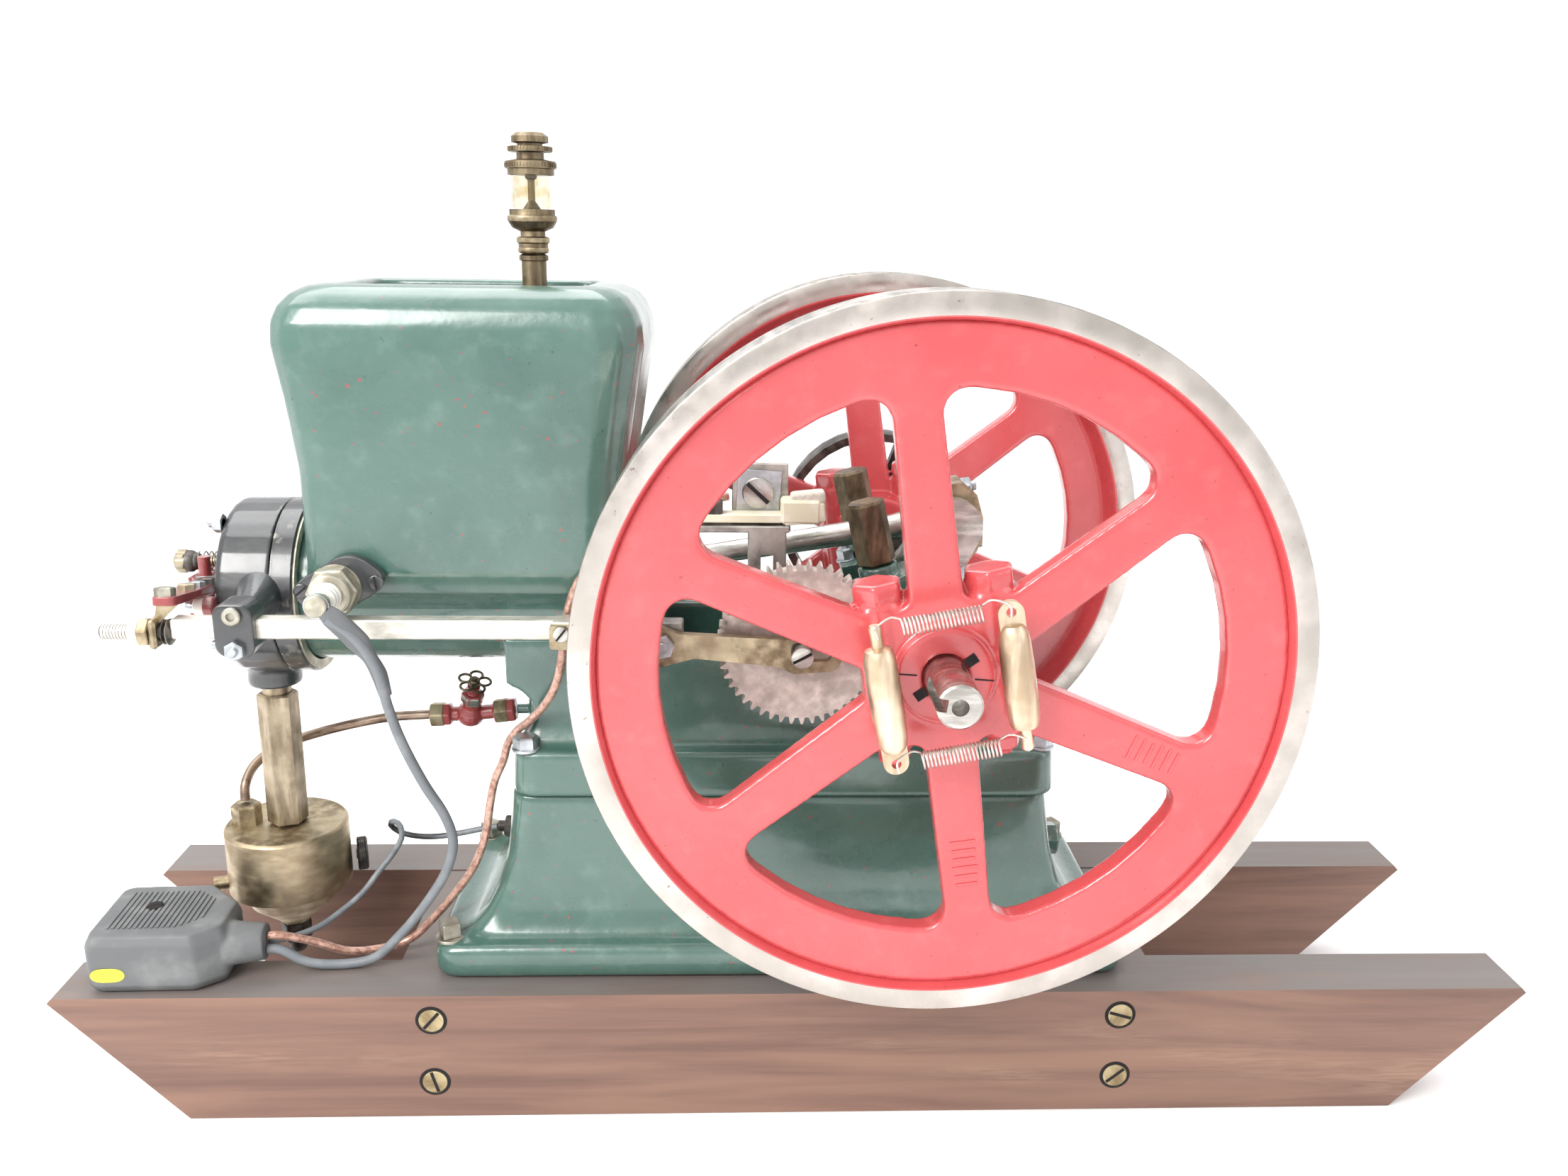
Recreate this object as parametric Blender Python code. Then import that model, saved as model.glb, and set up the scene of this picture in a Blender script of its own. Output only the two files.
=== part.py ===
"""Horizontal open-crank model petrol engine on a pair of wooden skids.

World frame: X along the skids with the cylinder head at -X and the crankshaft at +X,
-Y the side of the push rod and timing gear, +Z up, origin on the floor under the middle.
Every size below is in millimetres; meshes are scaled to metres when they become objects.
"""
import math

import bmesh
import bpy
from mathutils import Matrix, Vector

MM = 0.001
GAP = 0.3                      # clearance between pieces that touch

# ---- driving dimensions -------------------------------------------------------------
SKID_LENGTH = 420.0
SKID_WIDTH = 19.0
SKID_HEIGHT = 39.0
SKID_END_CUT = 35.5            # how far the sloping end leans in at the floor
SKID_OFFSET = 37.5             # skid centre line from the engine's middle plane
RAIL_WIDTH = 25.0
RAIL_CENTRES = (-104.5, 91.7)

SHAFT_X = 30.4
SHAFT_Z = 146.0
SHAFT_RADIUS = 5.3
SHAFT_END = 103.0
CRANK_THROW = 24.0
CRANK_ANGLE = math.radians(59.3)
ROD_LENGTH = 130.0
PIN_X = SHAFT_X + CRANK_THROW * math.cos(CRANK_ANGLE)
PIN_Z = SHAFT_Z + CRANK_THROW * math.sin(CRANK_ANGLE)
ROD_ANGLE = math.asin((PIN_Z - SHAFT_Z) / ROD_LENGTH)
GUDGEON_X = PIN_X - ROD_LENGTH * math.cos(ROD_ANGLE)

WHEEL_RADIUS = 89.0
WHEEL_WIDTH = 19.0
WHEEL_FACE = 82.5              # outer face of each flywheel from the middle plane
SPOKE_TURN = math.radians(8.0)
SPOKES = 6

HEAD_FACE = -162.0
GASKET = -146.5
HEAD_RADIUS = 25.4
LINER_BORE = 17.6
LINER_RADIUS = 20.0
LINER_END = -45.0
FLANGE_END = -143.9            # where the liner's flange meets the jacket
JACKET_RADIUS = 21.6
CRANK_SWEEP = 44.5             # radius kept clear for the crank and the big end
CRANK_ROOM = 16.5              # half-width of the room inside the crankcase

GEAR_MODULE = 0.9
TIMING_TEETH = 48
CRANK_TEETH = 24
GEAR_FRONT = -42.0
GEAR_BACK = -36.0
GEAR_SPACING = GEAR_MODULE * (TIMING_TEETH + CRANK_TEETH) / 2 + 0.25
GEAR_LINE = math.radians(9.1)  # slope of the line from the timing gear to the crankshaft
CAM_X = SHAFT_X - GEAR_SPACING * math.cos(GEAR_LINE)
CAM_Z = SHAFT_Z - GEAR_SPACING * math.sin(GEAR_LINE)

WALL_FACE = 22.5               # outer face of the crankcase walls
CAP_TILT = math.radians(13.2)  # the main bearing caps lean towards the cylinder
BED_TOP = 105.3
BED_BOTTOM = 91.6
FOOT_TOP = 49.6

ROD_Y = -42.3                  # middle of the push rod
ROD_Z = 145.65
ROD_START = -165.2             # left end of the square bar
ROD_BAR = 5.2
THREAD_DROP = 1.4              # the thread's axis below the bar's

INTAKE_Y, INTAKE_Z = -3.0, 153.4
INTAKE_END = -179.8
EXHAUST_Y, EXHAUST_Z = 10.4, 147.4
EXHAUST_END = -171.0
COLLAR = 3.6                   # length of the collar on each valve stem
MIXER_X = -156.2
BOSS_BOTTOM = 115.6
ROCKER_X, ROCKER_Y = -168.5, -12.0
ROCKER_LOW, ROCKER_HIGH = 146.4, 154.6
ROCKER_PLATE = 2.8             # thickness of each of the arm's two plates

PLUG_X, PLUG_Z = -124.0, 155.0
PLUG_SEAT = -34.0

BOWL_TOP = 70.4
BOWL_X = -157.0
BOWL_RADIUS = 17.9
UNION = Vector((-168.5, -1.0, BOWL_TOP + 6.4))
VALVE = Vector((-101.5, 11.0, 101.4))     # middle of the fuel shut-off valve
VALVE_UP = Vector((0.2, -0.38, 0.9)).normalized()
VALVE_STEM = 12.3              # from the valve's middle to its handwheel
ELBOW_X = -83.0
OILER_X = -75.2

GOVERNOR_TILT = math.radians(10.5)
WEIGHT_Y = -91.5
WEIGHT_OFFSET = 15.4           # each weight from the shaft
SPRING_REACH = 8.6             # half the length of each governor spring
SPRING_HEIGHT = 16.2           # each governor spring above or below the shaft

# middle line of each lead, from the plug to its end on the engine
HT_ROUTE = [(-152.95, -34.2, 46.6), (-150.0, -34.0, 46.5), (-142.5, -33.6, 42.0), (-133.0, -32.6, 40.6),
            (-124.0, -32.0, 42.0), (-116.0, -32.6, 49.5), (-107.0, -34.0, 61.0), (-100.0, -36.0, 73.0),
            (-97.6, -38.0, 82.5), (-98.8, -40.5, 91.0), (-103.2, -43.5, 102.0), (-107.6, -47.0, 116.0),
            (-109.6, -50.0, 127.0), (-110.8, -52.6, 137.4), (-114.4, -55.2, 146.0), (-121.0, -57.0, 152.4)]
BREAKER_ROUTE = [(-153.1, -32.6, 50.0), (-150.0, -32.3, 49.9), (-141.5, -28.6, 45.6), (-133.0, -26.6, 41.4),
                 (-124.0, -24.6, 40.9), (-115.6, -22.4, 42.6), (-108.6, -22.0, 49.2), (-101.4, -22.2, 57.8),
                 (-95.6, -22.0, 66.4), (-92.2, -21.0, 75.4), (-90.6, -20.4, 84.6), (-88.8, -20.4, 92.6),
                 (-86.0, -20.6, 99.0), (-84.4, -20.8, 104.4), (-81.4, -21.8, 108.8), (-77.6, -24.8, 112.6),
                 (-72.6, -28.4, 118.6), (-68.6, -31.8, 126.0), (-66.2, -34.6, 135.5), (-64.6, -36.2, 146.0),
                 (-61.0, -37.0, 156.5), (-53.5, -35.0, 165.6), (-43.0, -28.4, 172.0), (-32.0, -22.4, 175.4),
                 (-21.4, -19.0, 176.6)]
EARTH_ROUTE = [(-153.25, -31.0, 47.4), (-150.4, -30.6, 47.4), (-142.0, -23.6, 47.4), (-136.8, -17.2, 49.2),
               (-131.8, -13.0, 52.6), (-127.6, -9.2, 57.6), (-123.4, -5.6, 62.6), (-121.8, -1.8, 65.8),
               (-123.2, 1.6, 68.2), (-126.0, 4.2, 68.2), (-127.2, 6.2, 65.8), (-124.8, 6.6, 63.4),
               (-119.0, 5.6, 62.4), (-112.0, 4.6, 62.8), (-105.0, 4.0, 64.2), (-98.4, 4.0, 65.6),
               (-93.6, 4.0, 66.4)]

FINISHES = {
    "stained_wood": ((0.16, 0.07, 0.05), 0.55, 0.0),
    "green_enamel": ((0.03, 0.13, 0.10), 0.25, 0.0),
    "black_enamel": ((0.02, 0.02, 0.022), 0.35, 0.0),
    "red_enamel": ((0.62, 0.05, 0.06), 0.3, 0.0),
    "bright_steel": ((0.60, 0.58, 0.55), 0.3, 1.0),
    "grey_steel": ((0.42, 0.41, 0.39), 0.45, 1.0),
    "dark_iron": ((0.12, 0.11, 0.10), 0.5, 0.8),
    "brass": ((0.50, 0.38, 0.20), 0.35, 1.0),
    "bronze": ((0.30, 0.22, 0.13), 0.45, 1.0),
    "copper_pipe": ((0.36, 0.25, 0.18), 0.45, 1.0),
    "glass": ((0.90, 0.88, 0.78), 0.05, 0.0),
    "porcelain": ((0.85, 0.83, 0.78), 0.2, 0.0),
    "nylon": ((0.80, 0.78, 0.66), 0.6, 0.0),
    "grey_plastic": ((0.10, 0.105, 0.11), 0.5, 0.0),
    "grey_lead": ((0.25, 0.26, 0.28), 0.5, 0.0),
    "brown_lead": ((0.45, 0.25, 0.18), 0.5, 0.0),
}


# ---- helpers ------------------------------------------------------------------------
def clear_scene():
    for obj in list(bpy.data.objects):
        bpy.data.objects.remove(obj, do_unlink=True)


def finish_material(finish):
    material = bpy.data.materials.get(finish)
    if material is None:
        colour, roughness, metallic = FINISHES[finish]
        material = bpy.data.materials.new(finish)
        material.use_nodes = True
        shader = material.node_tree.nodes["Principled BSDF"]
        shader.inputs["Base Color"].default_value = (*colour, 1.0)
        shader.inputs["Roughness"].default_value = roughness
        shader.inputs["Metallic"].default_value = metallic
        material.diffuse_color = (*colour, 1.0)
    return material


def node(name, bm, finish, origin=(0.0, 0.0, 0.0)):
    """Make the named object from a mesh drawn in world millimetres, with its origin at `origin`."""
    bmesh.ops.translate(bm, vec=-Vector(origin), verts=bm.verts)
    bmesh.ops.scale(bm, vec=(MM, MM, MM), verts=bm.verts)
    bmesh.ops.recalc_face_normals(bm, faces=bm.faces)
    mesh = bpy.data.meshes.new(name)
    bm.to_mesh(mesh)
    bm.free()
    mesh.materials.append(finish_material(finish))
    mesh.shade_smooth()
    mesh.set_sharp_from_angle(angle=math.radians(32))
    obj = bpy.data.objects.new(name, mesh)
    obj.location = Vector(origin) * MM
    bpy.context.collection.objects.link(obj)
    return obj


def along(point, direction):
    """Matrix that puts a shape drawn along local +Z at `point`, pointing along `direction`."""
    turn = Vector((0, 0, 1)).rotation_difference(Vector(direction)).to_matrix().to_4x4()
    return Matrix.Translation(Vector(point)) @ turn


def upright(x, z):
    """Matrix for an outline drawn in (x, z) and extruded along world Y."""
    return Matrix(((1, 0, 0, x), (0, 0, 1, 0), (0, 1, 0, z), (0, 0, 0, 1)))


def turned(profile, place, segments=16):
    """Solid of revolution round local Z; `profile` holds (radius, height) from end to end.

    A profile that doesn't start and end on the axis is closed on itself, which leaves a hole.
    """
    bm = bmesh.new()
    rings = []
    for radius, height in profile:
        if radius == 0:
            rings.append([bm.verts.new((0, 0, height))])
            continue
        angles = [2 * math.pi * k / segments for k in range(segments)]
        rings.append([bm.verts.new((radius * math.cos(a), radius * math.sin(a), height)) for a in angles])
    hollow = profile[0][0] != 0
    pairs = list(zip(rings, rings[1:]))
    if hollow:
        pairs.append((rings[-1], rings[0]))
    for low, high in pairs:
        for k in range(segments):
            after = (k + 1) % segments
            corners = [low[k % len(low)], low[after % len(low)], high[after % len(high)], high[k % len(high)]]
            bm.faces.new(list(dict.fromkeys(corners)))
    bmesh.ops.transform(bm, matrix=place, verts=bm.verts)
    bmesh.ops.recalc_face_normals(bm, faces=bm.faces)
    return bm


def rod(radius, start, end, segments=12, chamfer=0.0):
    """Plain round bar between two points."""
    start = Vector(start)
    span = Vector(end) - start
    length = span.length
    profile = [(0, 0), (radius - chamfer, 0), (radius, chamfer), (radius, length - chamfer),
               (radius - chamfer, length), (0, length)]
    if chamfer == 0:
        profile = [(0, 0), (radius, 0), (radius, length), (0, length)]
    return turned(profile, along(start, span), segments)


def tube(inner, outer, start, end, segments=16):
    start = Vector(start)
    span = Vector(end) - start
    profile = [(outer, 0), (outer, span.length), (inner, span.length), (inner, 0)]
    return turned(profile, along(start, span), segments)


def hexagon(across_flats, start, end, turn=0.0, chamfer=0.0):
    """Hexagonal bar between two points, with optional chamfered ends."""
    start = Vector(start)
    span = Vector(end) - start
    place = along(start, span) @ Matrix.Rotation(turn, 4, "Z")
    radius = across_flats / math.sqrt(3)
    return turned([(0, 0), (radius - chamfer, 0), (radius, chamfer), (radius, span.length - chamfer),
                   (radius - chamfer, span.length), (0, span.length)] if chamfer else
                  [(0, 0), (radius, 0), (radius, span.length), (0, span.length)], place, 6)


def extruded(outline, low, high, place=None):
    """Prism over a flat outline, from height `low` to `high` along the local Z."""
    bm = bmesh.new()
    bottom = [bm.verts.new((x, y, low)) for x, y in outline]
    top = [bm.verts.new((x, y, high)) for x, y in outline]
    count = len(outline)
    bm.faces.new(bottom)
    bm.faces.new(top)
    for k in range(count):
        after = (k + 1) % count
        bm.faces.new((bottom[k], bottom[after], top[after], top[k]))
    if place is not None:
        bmesh.ops.transform(bm, matrix=place, verts=bm.verts)
    bmesh.ops.recalc_face_normals(bm, faces=bm.faces)
    return bm


def block(low, high, bevel=0.0, segments=1):
    """Box between two corners, with its edges rounded by `bevel`."""
    corners = [(low[0], low[1]), (high[0], low[1]), (high[0], high[1]), (low[0], high[1])]
    bm = extruded(corners, low[2], high[2])
    if bevel:
        bmesh.ops.bevel(bm, geom=bm.edges[:], offset=bevel, segments=segments, affect="EDGES", profile=0.5)
    return bm


def rounded_rectangle(x0, x1, half_y, radius, steps=3):
    """Outline of a rectangle, symmetric about Y = 0, with round corners."""
    corners = ((x1 - radius, half_y - radius, 0.0), (x0 + radius, half_y - radius, 0.5),
               (x0 + radius, radius - half_y, 1.0), (x1 - radius, radius - half_y, 1.5))
    outline = []
    for cx, cy, start in corners:
        for k in range(steps + 1):
            angle = math.pi * (start + 0.5 * k / steps)
            outline.append((cx + radius * math.cos(angle), cy + radius * math.sin(angle)))
    return outline


def lofted(sections):
    """Closed skin through outlines of equal point count; `sections` holds (height, outline)."""
    bm = bmesh.new()
    rings = [[bm.verts.new((x, y, height)) for x, y in outline] for height, outline in sections]
    bm.faces.new(rings[0])
    bm.faces.new(rings[-1])
    for low, high in zip(rings, rings[1:]):
        for k in range(len(low)):
            after = (k + 1) % len(low)
            bm.faces.new((low[k], low[after], high[after], high[k]))
    bmesh.ops.recalc_face_normals(bm, faces=bm.faces)
    return bm


def filleted(points, radii, steps=3):
    """Outline with the corner at each point rounded to its radius."""
    outline = []
    count = len(points)
    for k, (point, radius) in enumerate(zip(points, radii)):
        corner = Vector(point)
        if radius == 0:
            outline.append((corner.x, corner.y))
            continue
        before = (Vector(points[k - 1]) - corner).normalized()
        after = (Vector(points[(k + 1) % count]) - corner).normalized()
        half = before.angle(after) / 2
        centre = corner + (before + after).normalized() * (radius / math.sin(half))
        first = corner + before * (radius / math.tan(half)) - centre
        last = corner + after * (radius / math.tan(half)) - centre
        sweep = first.angle_signed(last)
        for step in range(steps + 1):
            arm = Matrix.Rotation(-sweep * step / steps, 2) @ first
            outline.append((centre.x + arm.x, centre.y + arm.y))
    return outline


def combined(base, add=(), cut=()):
    """One closed mesh: `base` with the `add` meshes fused on and the `cut` meshes taken away."""
    helpers = []
    for kind, meshes in (("BASE", [base]), ("UNION", add), ("DIFFERENCE", cut)):
        for shape in meshes:
            data = bpy.data.meshes.new("helper")
            shape.to_mesh(data)
            shape.free()
            helper = bpy.data.objects.new("helper", data)
            bpy.context.collection.objects.link(helper)
            helpers.append((kind, helper))
    body = helpers[0][1]
    for kind, helper in helpers[1:]:
        modifier = body.modifiers.new(kind, "BOOLEAN")
        modifier.operation = kind
        modifier.object = helper
        modifier.solver = "EXACT"
    graph = bpy.context.evaluated_depsgraph_get()
    result = bpy.data.meshes.new_from_object(body.evaluated_get(graph))
    bm = bmesh.new()
    bm.from_mesh(result)
    for _, helper in helpers:
        data = helper.data
        bpy.data.objects.remove(helper, do_unlink=True)
        bpy.data.meshes.remove(data)
    bpy.data.meshes.remove(result)
    bmesh.ops.remove_doubles(bm, verts=bm.verts, dist=0.002)
    bmesh.ops.dissolve_limit(bm, angle_limit=math.radians(0.3), verts=bm.verts, edges=bm.edges)
    return bm


def in_shaft_frame(u, v):
    """World (x, z) of a point given across and up from the shaft in the tilted bearing frame."""
    return (SHAFT_X + u * math.cos(CAP_TILT) - v * math.sin(CAP_TILT),
            SHAFT_Z + u * math.sin(CAP_TILT) + v * math.cos(CAP_TILT))


def circle(radius, centre=(0.0, 0.0), start=0.0, end=2 * math.pi, count=24):
    """Points along an arc; a full turn leaves out the repeated last point."""
    full = abs(end - start) >= 2 * math.pi - 1e-9
    steps = count if full else count - 1
    angles = [start + (end - start) * k / steps for k in range(count)]
    return [(centre[0] + radius * math.cos(a), centre[1] + radius * math.sin(a)) for a in angles]


# ---- skids and base -----------------------------------------------------------------
def skids():
    half = SKID_LENGTH / 2
    outline = [(SKID_END_CUT - half, 0), (half - SKID_END_CUT, 0), (half, SKID_HEIGHT - 1.5),
               (half - 1.4, SKID_HEIGHT), (1.4 - half, SKID_HEIGHT), (-half, SKID_HEIGHT - 1.5)]
    for name, side in (("skid_near", -1), ("skid_far", 1)):
        low = side * SKID_OFFSET - SKID_WIDTH / 2
        node(name, extruded(outline, low, low + SKID_WIDTH, upright(0, 0)), "stained_wood")


def cross_rails():
    half_gap = SKID_OFFSET - SKID_WIDTH / 2 - GAP
    for name, centre in zip(("cross_rail_left", "cross_rail_right"), RAIL_CENTRES):
        low = (centre - RAIL_WIDTH / 2, -half_gap, GAP)
        high = (centre + RAIL_WIDTH / 2, half_gap, SKID_HEIGHT - GAP)
        node(name, block(low, high), "stained_wood")


def sub_base():
    """Flared cast sub-base, open underneath, with a wide foot."""
    bottom = SKID_HEIGHT + GAP
    outer = [(bottom, rounded_rectangle(-104.5, 93.5, 38.0, 6.0)),
             (bottom + 1.2, rounded_rectangle(-105.5, 94.5, 39.0, 6.5)),
             (FOOT_TOP - 2.2, rounded_rectangle(-105.5, 94.5, 39.0, 6.5)),
             (FOOT_TOP - 0.4, rounded_rectangle(-103.8, 92.8, 37.3, 6.0)),
             (FOOT_TOP, rounded_rectangle(-99.5, 88.5, 34.8, 6.0)),
             (FOOT_TOP + 2.0, rounded_rectangle(-95.5, 84.6, 33.0, 6.0)),
             (FOOT_TOP + 6.0, rounded_rectangle(-91.8, 80.6, 31.4, 6.0)),
             (FOOT_TOP + 13.0, rounded_rectangle(-88.2, 76.8, 30.0, 6.0)),
             (FOOT_TOP + 24.0, rounded_rectangle(-85.0, 73.8, 29.0, 6.0)),
             (BED_BOTTOM - GAP, rounded_rectangle(-83.2, 71.2, 28.4, 6.0))]
    hollow = [(bottom - 1.0, rounded_rectangle(-90.0, 79.0, 27.0, 4.0)),
              (FOOT_TOP + 6.0, rounded_rectangle(-86.0, 75.0, 26.0, 4.0)),
              (BED_BOTTOM - 6.0, rounded_rectangle(-78.0, 66.0, 23.0, 4.0))]
    node("sub_base", combined(lofted(outer), cut=[lofted(hollow)]), "green_enamel")


# ---- engine casting -----------------------------------------------------------------
def hopper_shell():
    """Outer skin of the water hopper, wider at the top, with rounded shoulders."""
    return lofted([(138.0, rounded_rectangle(-140.0, -50.2, 14.0, 6.0)),
                   (147.0, rounded_rectangle(-139.0, -50.0, 24.0, 8.0)),
                   (151.5, rounded_rectangle(-136.2, -49.8, 31.0, 9.0)),
                   (158.0, rounded_rectangle(-135.4, -49.6, 33.4, 9.0)),
                   (184.0, rounded_rectangle(-135.2, -48.8, 34.0, 9.0)),
                   (203.0, rounded_rectangle(-137.6, -46.0, 34.6, 10.0)),
                   (217.5, rounded_rectangle(-140.2, -43.6, 35.2, 11.0)),
                   (223.0, rounded_rectangle(-139.8, -44.0, 34.8, 11.0)),
                   (227.0, rounded_rectangle(-138.2, -45.4, 33.4, 10.8)),
                   (230.0, rounded_rectangle(-135.4, -48.0, 31.0, 10.2)),
                   (231.9, rounded_rectangle(-131.8, -51.6, 27.8, 9.2)),
                   (232.6, rounded_rectangle(-127.4, -56.0, 24.2, 7.8))])


def hopper_hollow():
    return lofted([(174.0, rounded_rectangle(-130.8, -54.0, 29.4, 6.0)),
                   (203.0, rounded_rectangle(-133.2, -50.6, 30.0, 6.0)),
                   (221.0, rounded_rectangle(-134.8, -49.0, 30.2, 7.0)),
                   (226.0, rounded_rectangle(-131.0, -52.4, 26.6, 6.0)),
                   (229.0, rounded_rectangle(-122.9, -60.1, 20.6, 5.0)),
                   (234.0, rounded_rectangle(-122.9, -60.1, 20.6, 5.0))])


def crankcase_outline():
    """Side view of the crankcase between the bed flange and the jacket, with tilted saddles."""
    saddle_left = in_shaft_frame(-16.5, 2.0)
    saddle_right = in_shaft_frame(16.5, 2.0)
    return [(-80.0, BED_TOP - 1.0), (-77.2, 109.0), (-76.0, 113.0), (-76.8, 117.0), (-79.6, 120.4),
            (-84.0, 122.6), (-84.0, 136.0), (-30.0, 136.0), (6.0, 137.0), saddle_left, saddle_right,
            (50.5, 146.0), (53.5, 128.0), (58.0, 113.0), (64.0, BED_TOP - 1.0)]


def saddle_outline():
    """Side view of the bracket that carries each end of the shaft outside the wall."""
    return [in_shaft_frame(-17.0, 3.0), in_shaft_frame(17.0, 3.0), (46.0, 138.0), (41.0, 126.0),
            (33.0, 119.0), (26.0, 119.0), (17.5, 126.0), (13.6, 134.0)]


def engine_casting():
    """Bed flange, crankcase, water jacket and hopper in one casting."""
    flange = lofted([(BED_BOTTOM, rounded_rectangle(-81.6, 71.9, 29.8, 5.0)),
                     (BED_BOTTOM + 1.2, rounded_rectangle(-82.4, 72.7, 30.6, 5.5)),
                     (BED_TOP - 1.2, rounded_rectangle(-81.8, 72.1, 30.2, 5.5)),
                     (BED_TOP, rounded_rectangle(-80.8, 71.1, 29.2, 5.0))])
    crankcase = extruded(crankcase_outline(), -WALL_FACE, WALL_FACE, upright(0, 0))
    root = lofted([(BED_TOP - 1.0, rounded_rectangle(-80.4, 66.0, 27.6, 3.0)),
                   (BED_TOP + 1.2, rounded_rectangle(-79.2, 64.0, 25.0, 3.0)),
                   (BED_TOP + 5.0, rounded_rectangle(-77.4, 60.0, 23.2, 2.0)),
                   (BED_TOP + 12.0, rounded_rectangle(-76.6, 57.0, 22.2, 2.0))])
    saddles = [extruded(saddle_outline(), -32.0, -16.6, upright(0, 0)),
               extruded(saddle_outline(), 16.6, 32.0, upright(0, 0))]
    jacket_start, jacket_end = FLANGE_END + GAP, -46.2
    jacket = turned([(0, jacket_start), (JACKET_RADIUS - 1.7, jacket_start),
                     (JACKET_RADIUS, jacket_start + 2.0), (JACKET_RADIUS, jacket_end - 0.8),
                     (JACKET_RADIUS - 0.8, jacket_end), (0, jacket_end)],
                    along((0, 0, SHAFT_Z), (1, 0, 0)), 32)
    above_saddle = [in_shaft_frame(-21.0, -GAP), in_shaft_frame(21.0, -GAP),
                    in_shaft_frame(21.0, 20.0), in_shaft_frame(-21.0, 20.0)]
    cuts = [hopper_hollow(),
            extruded(above_saddle, -34.0, 34.0, upright(0, 0)),
            rod(CRANK_SWEEP, (SHAFT_X, -CRANK_ROOM, SHAFT_Z), (SHAFT_X, CRANK_ROOM, SHAFT_Z), 40),
            elbow_notch(),
            block((-42.0, -CRANK_ROOM, 109.8), (SHAFT_X, CRANK_ROOM, 160.0)),
            rod(LINER_RADIUS + GAP, (-160.0, 0, SHAFT_Z), (-40.0, 0, SHAFT_Z), 32),
            rod(SHAFT_RADIUS + GAP, (SHAFT_X, -40.0, SHAFT_Z), (SHAFT_X, 40.0, SHAFT_Z), 24)]
    bm = combined(flange, add=[crankcase, root, jacket, hopper_shell()] + saddles, cut=cuts)
    node("engine_casting", bm, "green_enamel")


def bearing_caps():
    """Leaning main bearing caps with a pad under each grease cup."""
    dome = circle(12.4, (0, 0), math.acos(11.2 / 12.4) , math.pi - math.acos(11.2 / 12.4), 11)
    outline = [(16.6, GAP), (16.6, 5.4)] + dome + [(-16.6, 5.4), (-16.6, GAP)]
    world = [in_shaft_frame(u, v) for u, v in outline]
    for name, side in (("main_bearing_cap_near", -1), ("main_bearing_cap_far", 1)):
        low, high = sorted((side * 17.0, side * 32.0))
        shape = extruded(world, low, high, upright(0, 0))
        pad_low = in_shaft_frame(-7.4, 8.0)
        pad_high = in_shaft_frame(-7.4, 15.0)
        pad = rod(5.6, (pad_low[0], side * 24.5, pad_low[1]), (pad_high[0], side * 24.5, pad_high[1]), 20)
        bore = rod(SHAFT_RADIUS + GAP, (SHAFT_X, -40.0, SHAFT_Z), (SHAFT_X, 40.0, SHAFT_Z), 24)
        node(name, combined(shape, add=[pad], cut=[bore]), "green_enamel")


def grease_cups():
    for name, side in (("grease_cup_near", -1), ("grease_cup_far", 1)):
        foot = in_shaft_frame(-7.4, 15.0 + GAP)
        top = in_shaft_frame(-7.4, 33.0)
        base = Vector((foot[0], side * 24.5, foot[1]))
        shape = hexagon(9.6, base, (top[0], side * 24.5, top[1]), math.radians(12), 0.7)
        node(name, shape, "bronze", base)


# ---- cylinder -----------------------------------------------------------------------
def cylinder_liner():
    """Iron sleeve with a black flange at the head end."""
    profile = [(LINER_BORE, GASKET), (HEAD_RADIUS, GASKET), (HEAD_RADIUS, FLANGE_END),
               (LINER_RADIUS, FLANGE_END),
               (LINER_RADIUS, LINER_END), (LINER_BORE + 2.2, LINER_END), (LINER_BORE, LINER_END - 4.0)]
    node("cylinder_liner", turned(profile, along((0, 0, SHAFT_Z), (1, 0, 0)), 32), "black_enamel")


def cylinder_head():
    """Round head with the mixer boss underneath, bored for both valve stems."""
    face = HEAD_FACE
    barrel = turned([(0, face), (HEAD_RADIUS - 2.2, face), (HEAD_RADIUS - 0.7, face + 0.7),
                     (HEAD_RADIUS, face + 2.2), (HEAD_RADIUS, GASKET - GAP), (0, GASKET - GAP)],
                    along((0, 0, SHAFT_Z), (1, 0, 0)), 32)
    boss = turned([(0, 0), (7.3, 0), (7.8, 0.8), (7.6, 4.4), (8.3, 6.0), (8.3, 8.6), (7.2, 12.0),
                   (7.2, 18.0), (0, 18.0)],
                  along((MIXER_X, 0, BOSS_BOTTOM), (0, 0, 1)), 24)
    port = [(0, face - 1), (1.9, face - 1), (1.9, GASKET - 5.0), (7.2, GASKET - 5.0),
            (7.2, GASKET + 2), (0, GASKET + 2)]
    ports = [turned(port, along((0, y, z), (1, 0, 0)), 20)
             for y, z in ((INTAKE_Y, INTAKE_Z), (EXHAUST_Y, EXHAUST_Z))]
    node("cylinder_head", combined(barrel, add=[boss], cut=ports), "black_enamel")


def valves():
    """Poppet valves with their collars; each slides along X through the head."""
    collars = {"intake_valve": (INTAKE_Y, INTAKE_Z, INTAKE_END, 3.1),
               "exhaust_valve": (EXHAUST_Y, EXHAUST_Z, EXHAUST_END, 2.6)}
    for name, (y, z, end, collar) in collars.items():
        profile = [(0, end), (collar - 0.5, end), (collar, end + 0.5), (collar, end + COLLAR),
                   (1.6, end + COLLAR), (1.6, GASKET - 4.6), (6.4, GASKET - 2.6), (6.4, GASKET - 1.4),
                   (0, GASKET - 1.4)]
        node(name, turned(profile, along((0, y, z), (1, 0, 0)), 20), "brass", (end, y, z))


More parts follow.
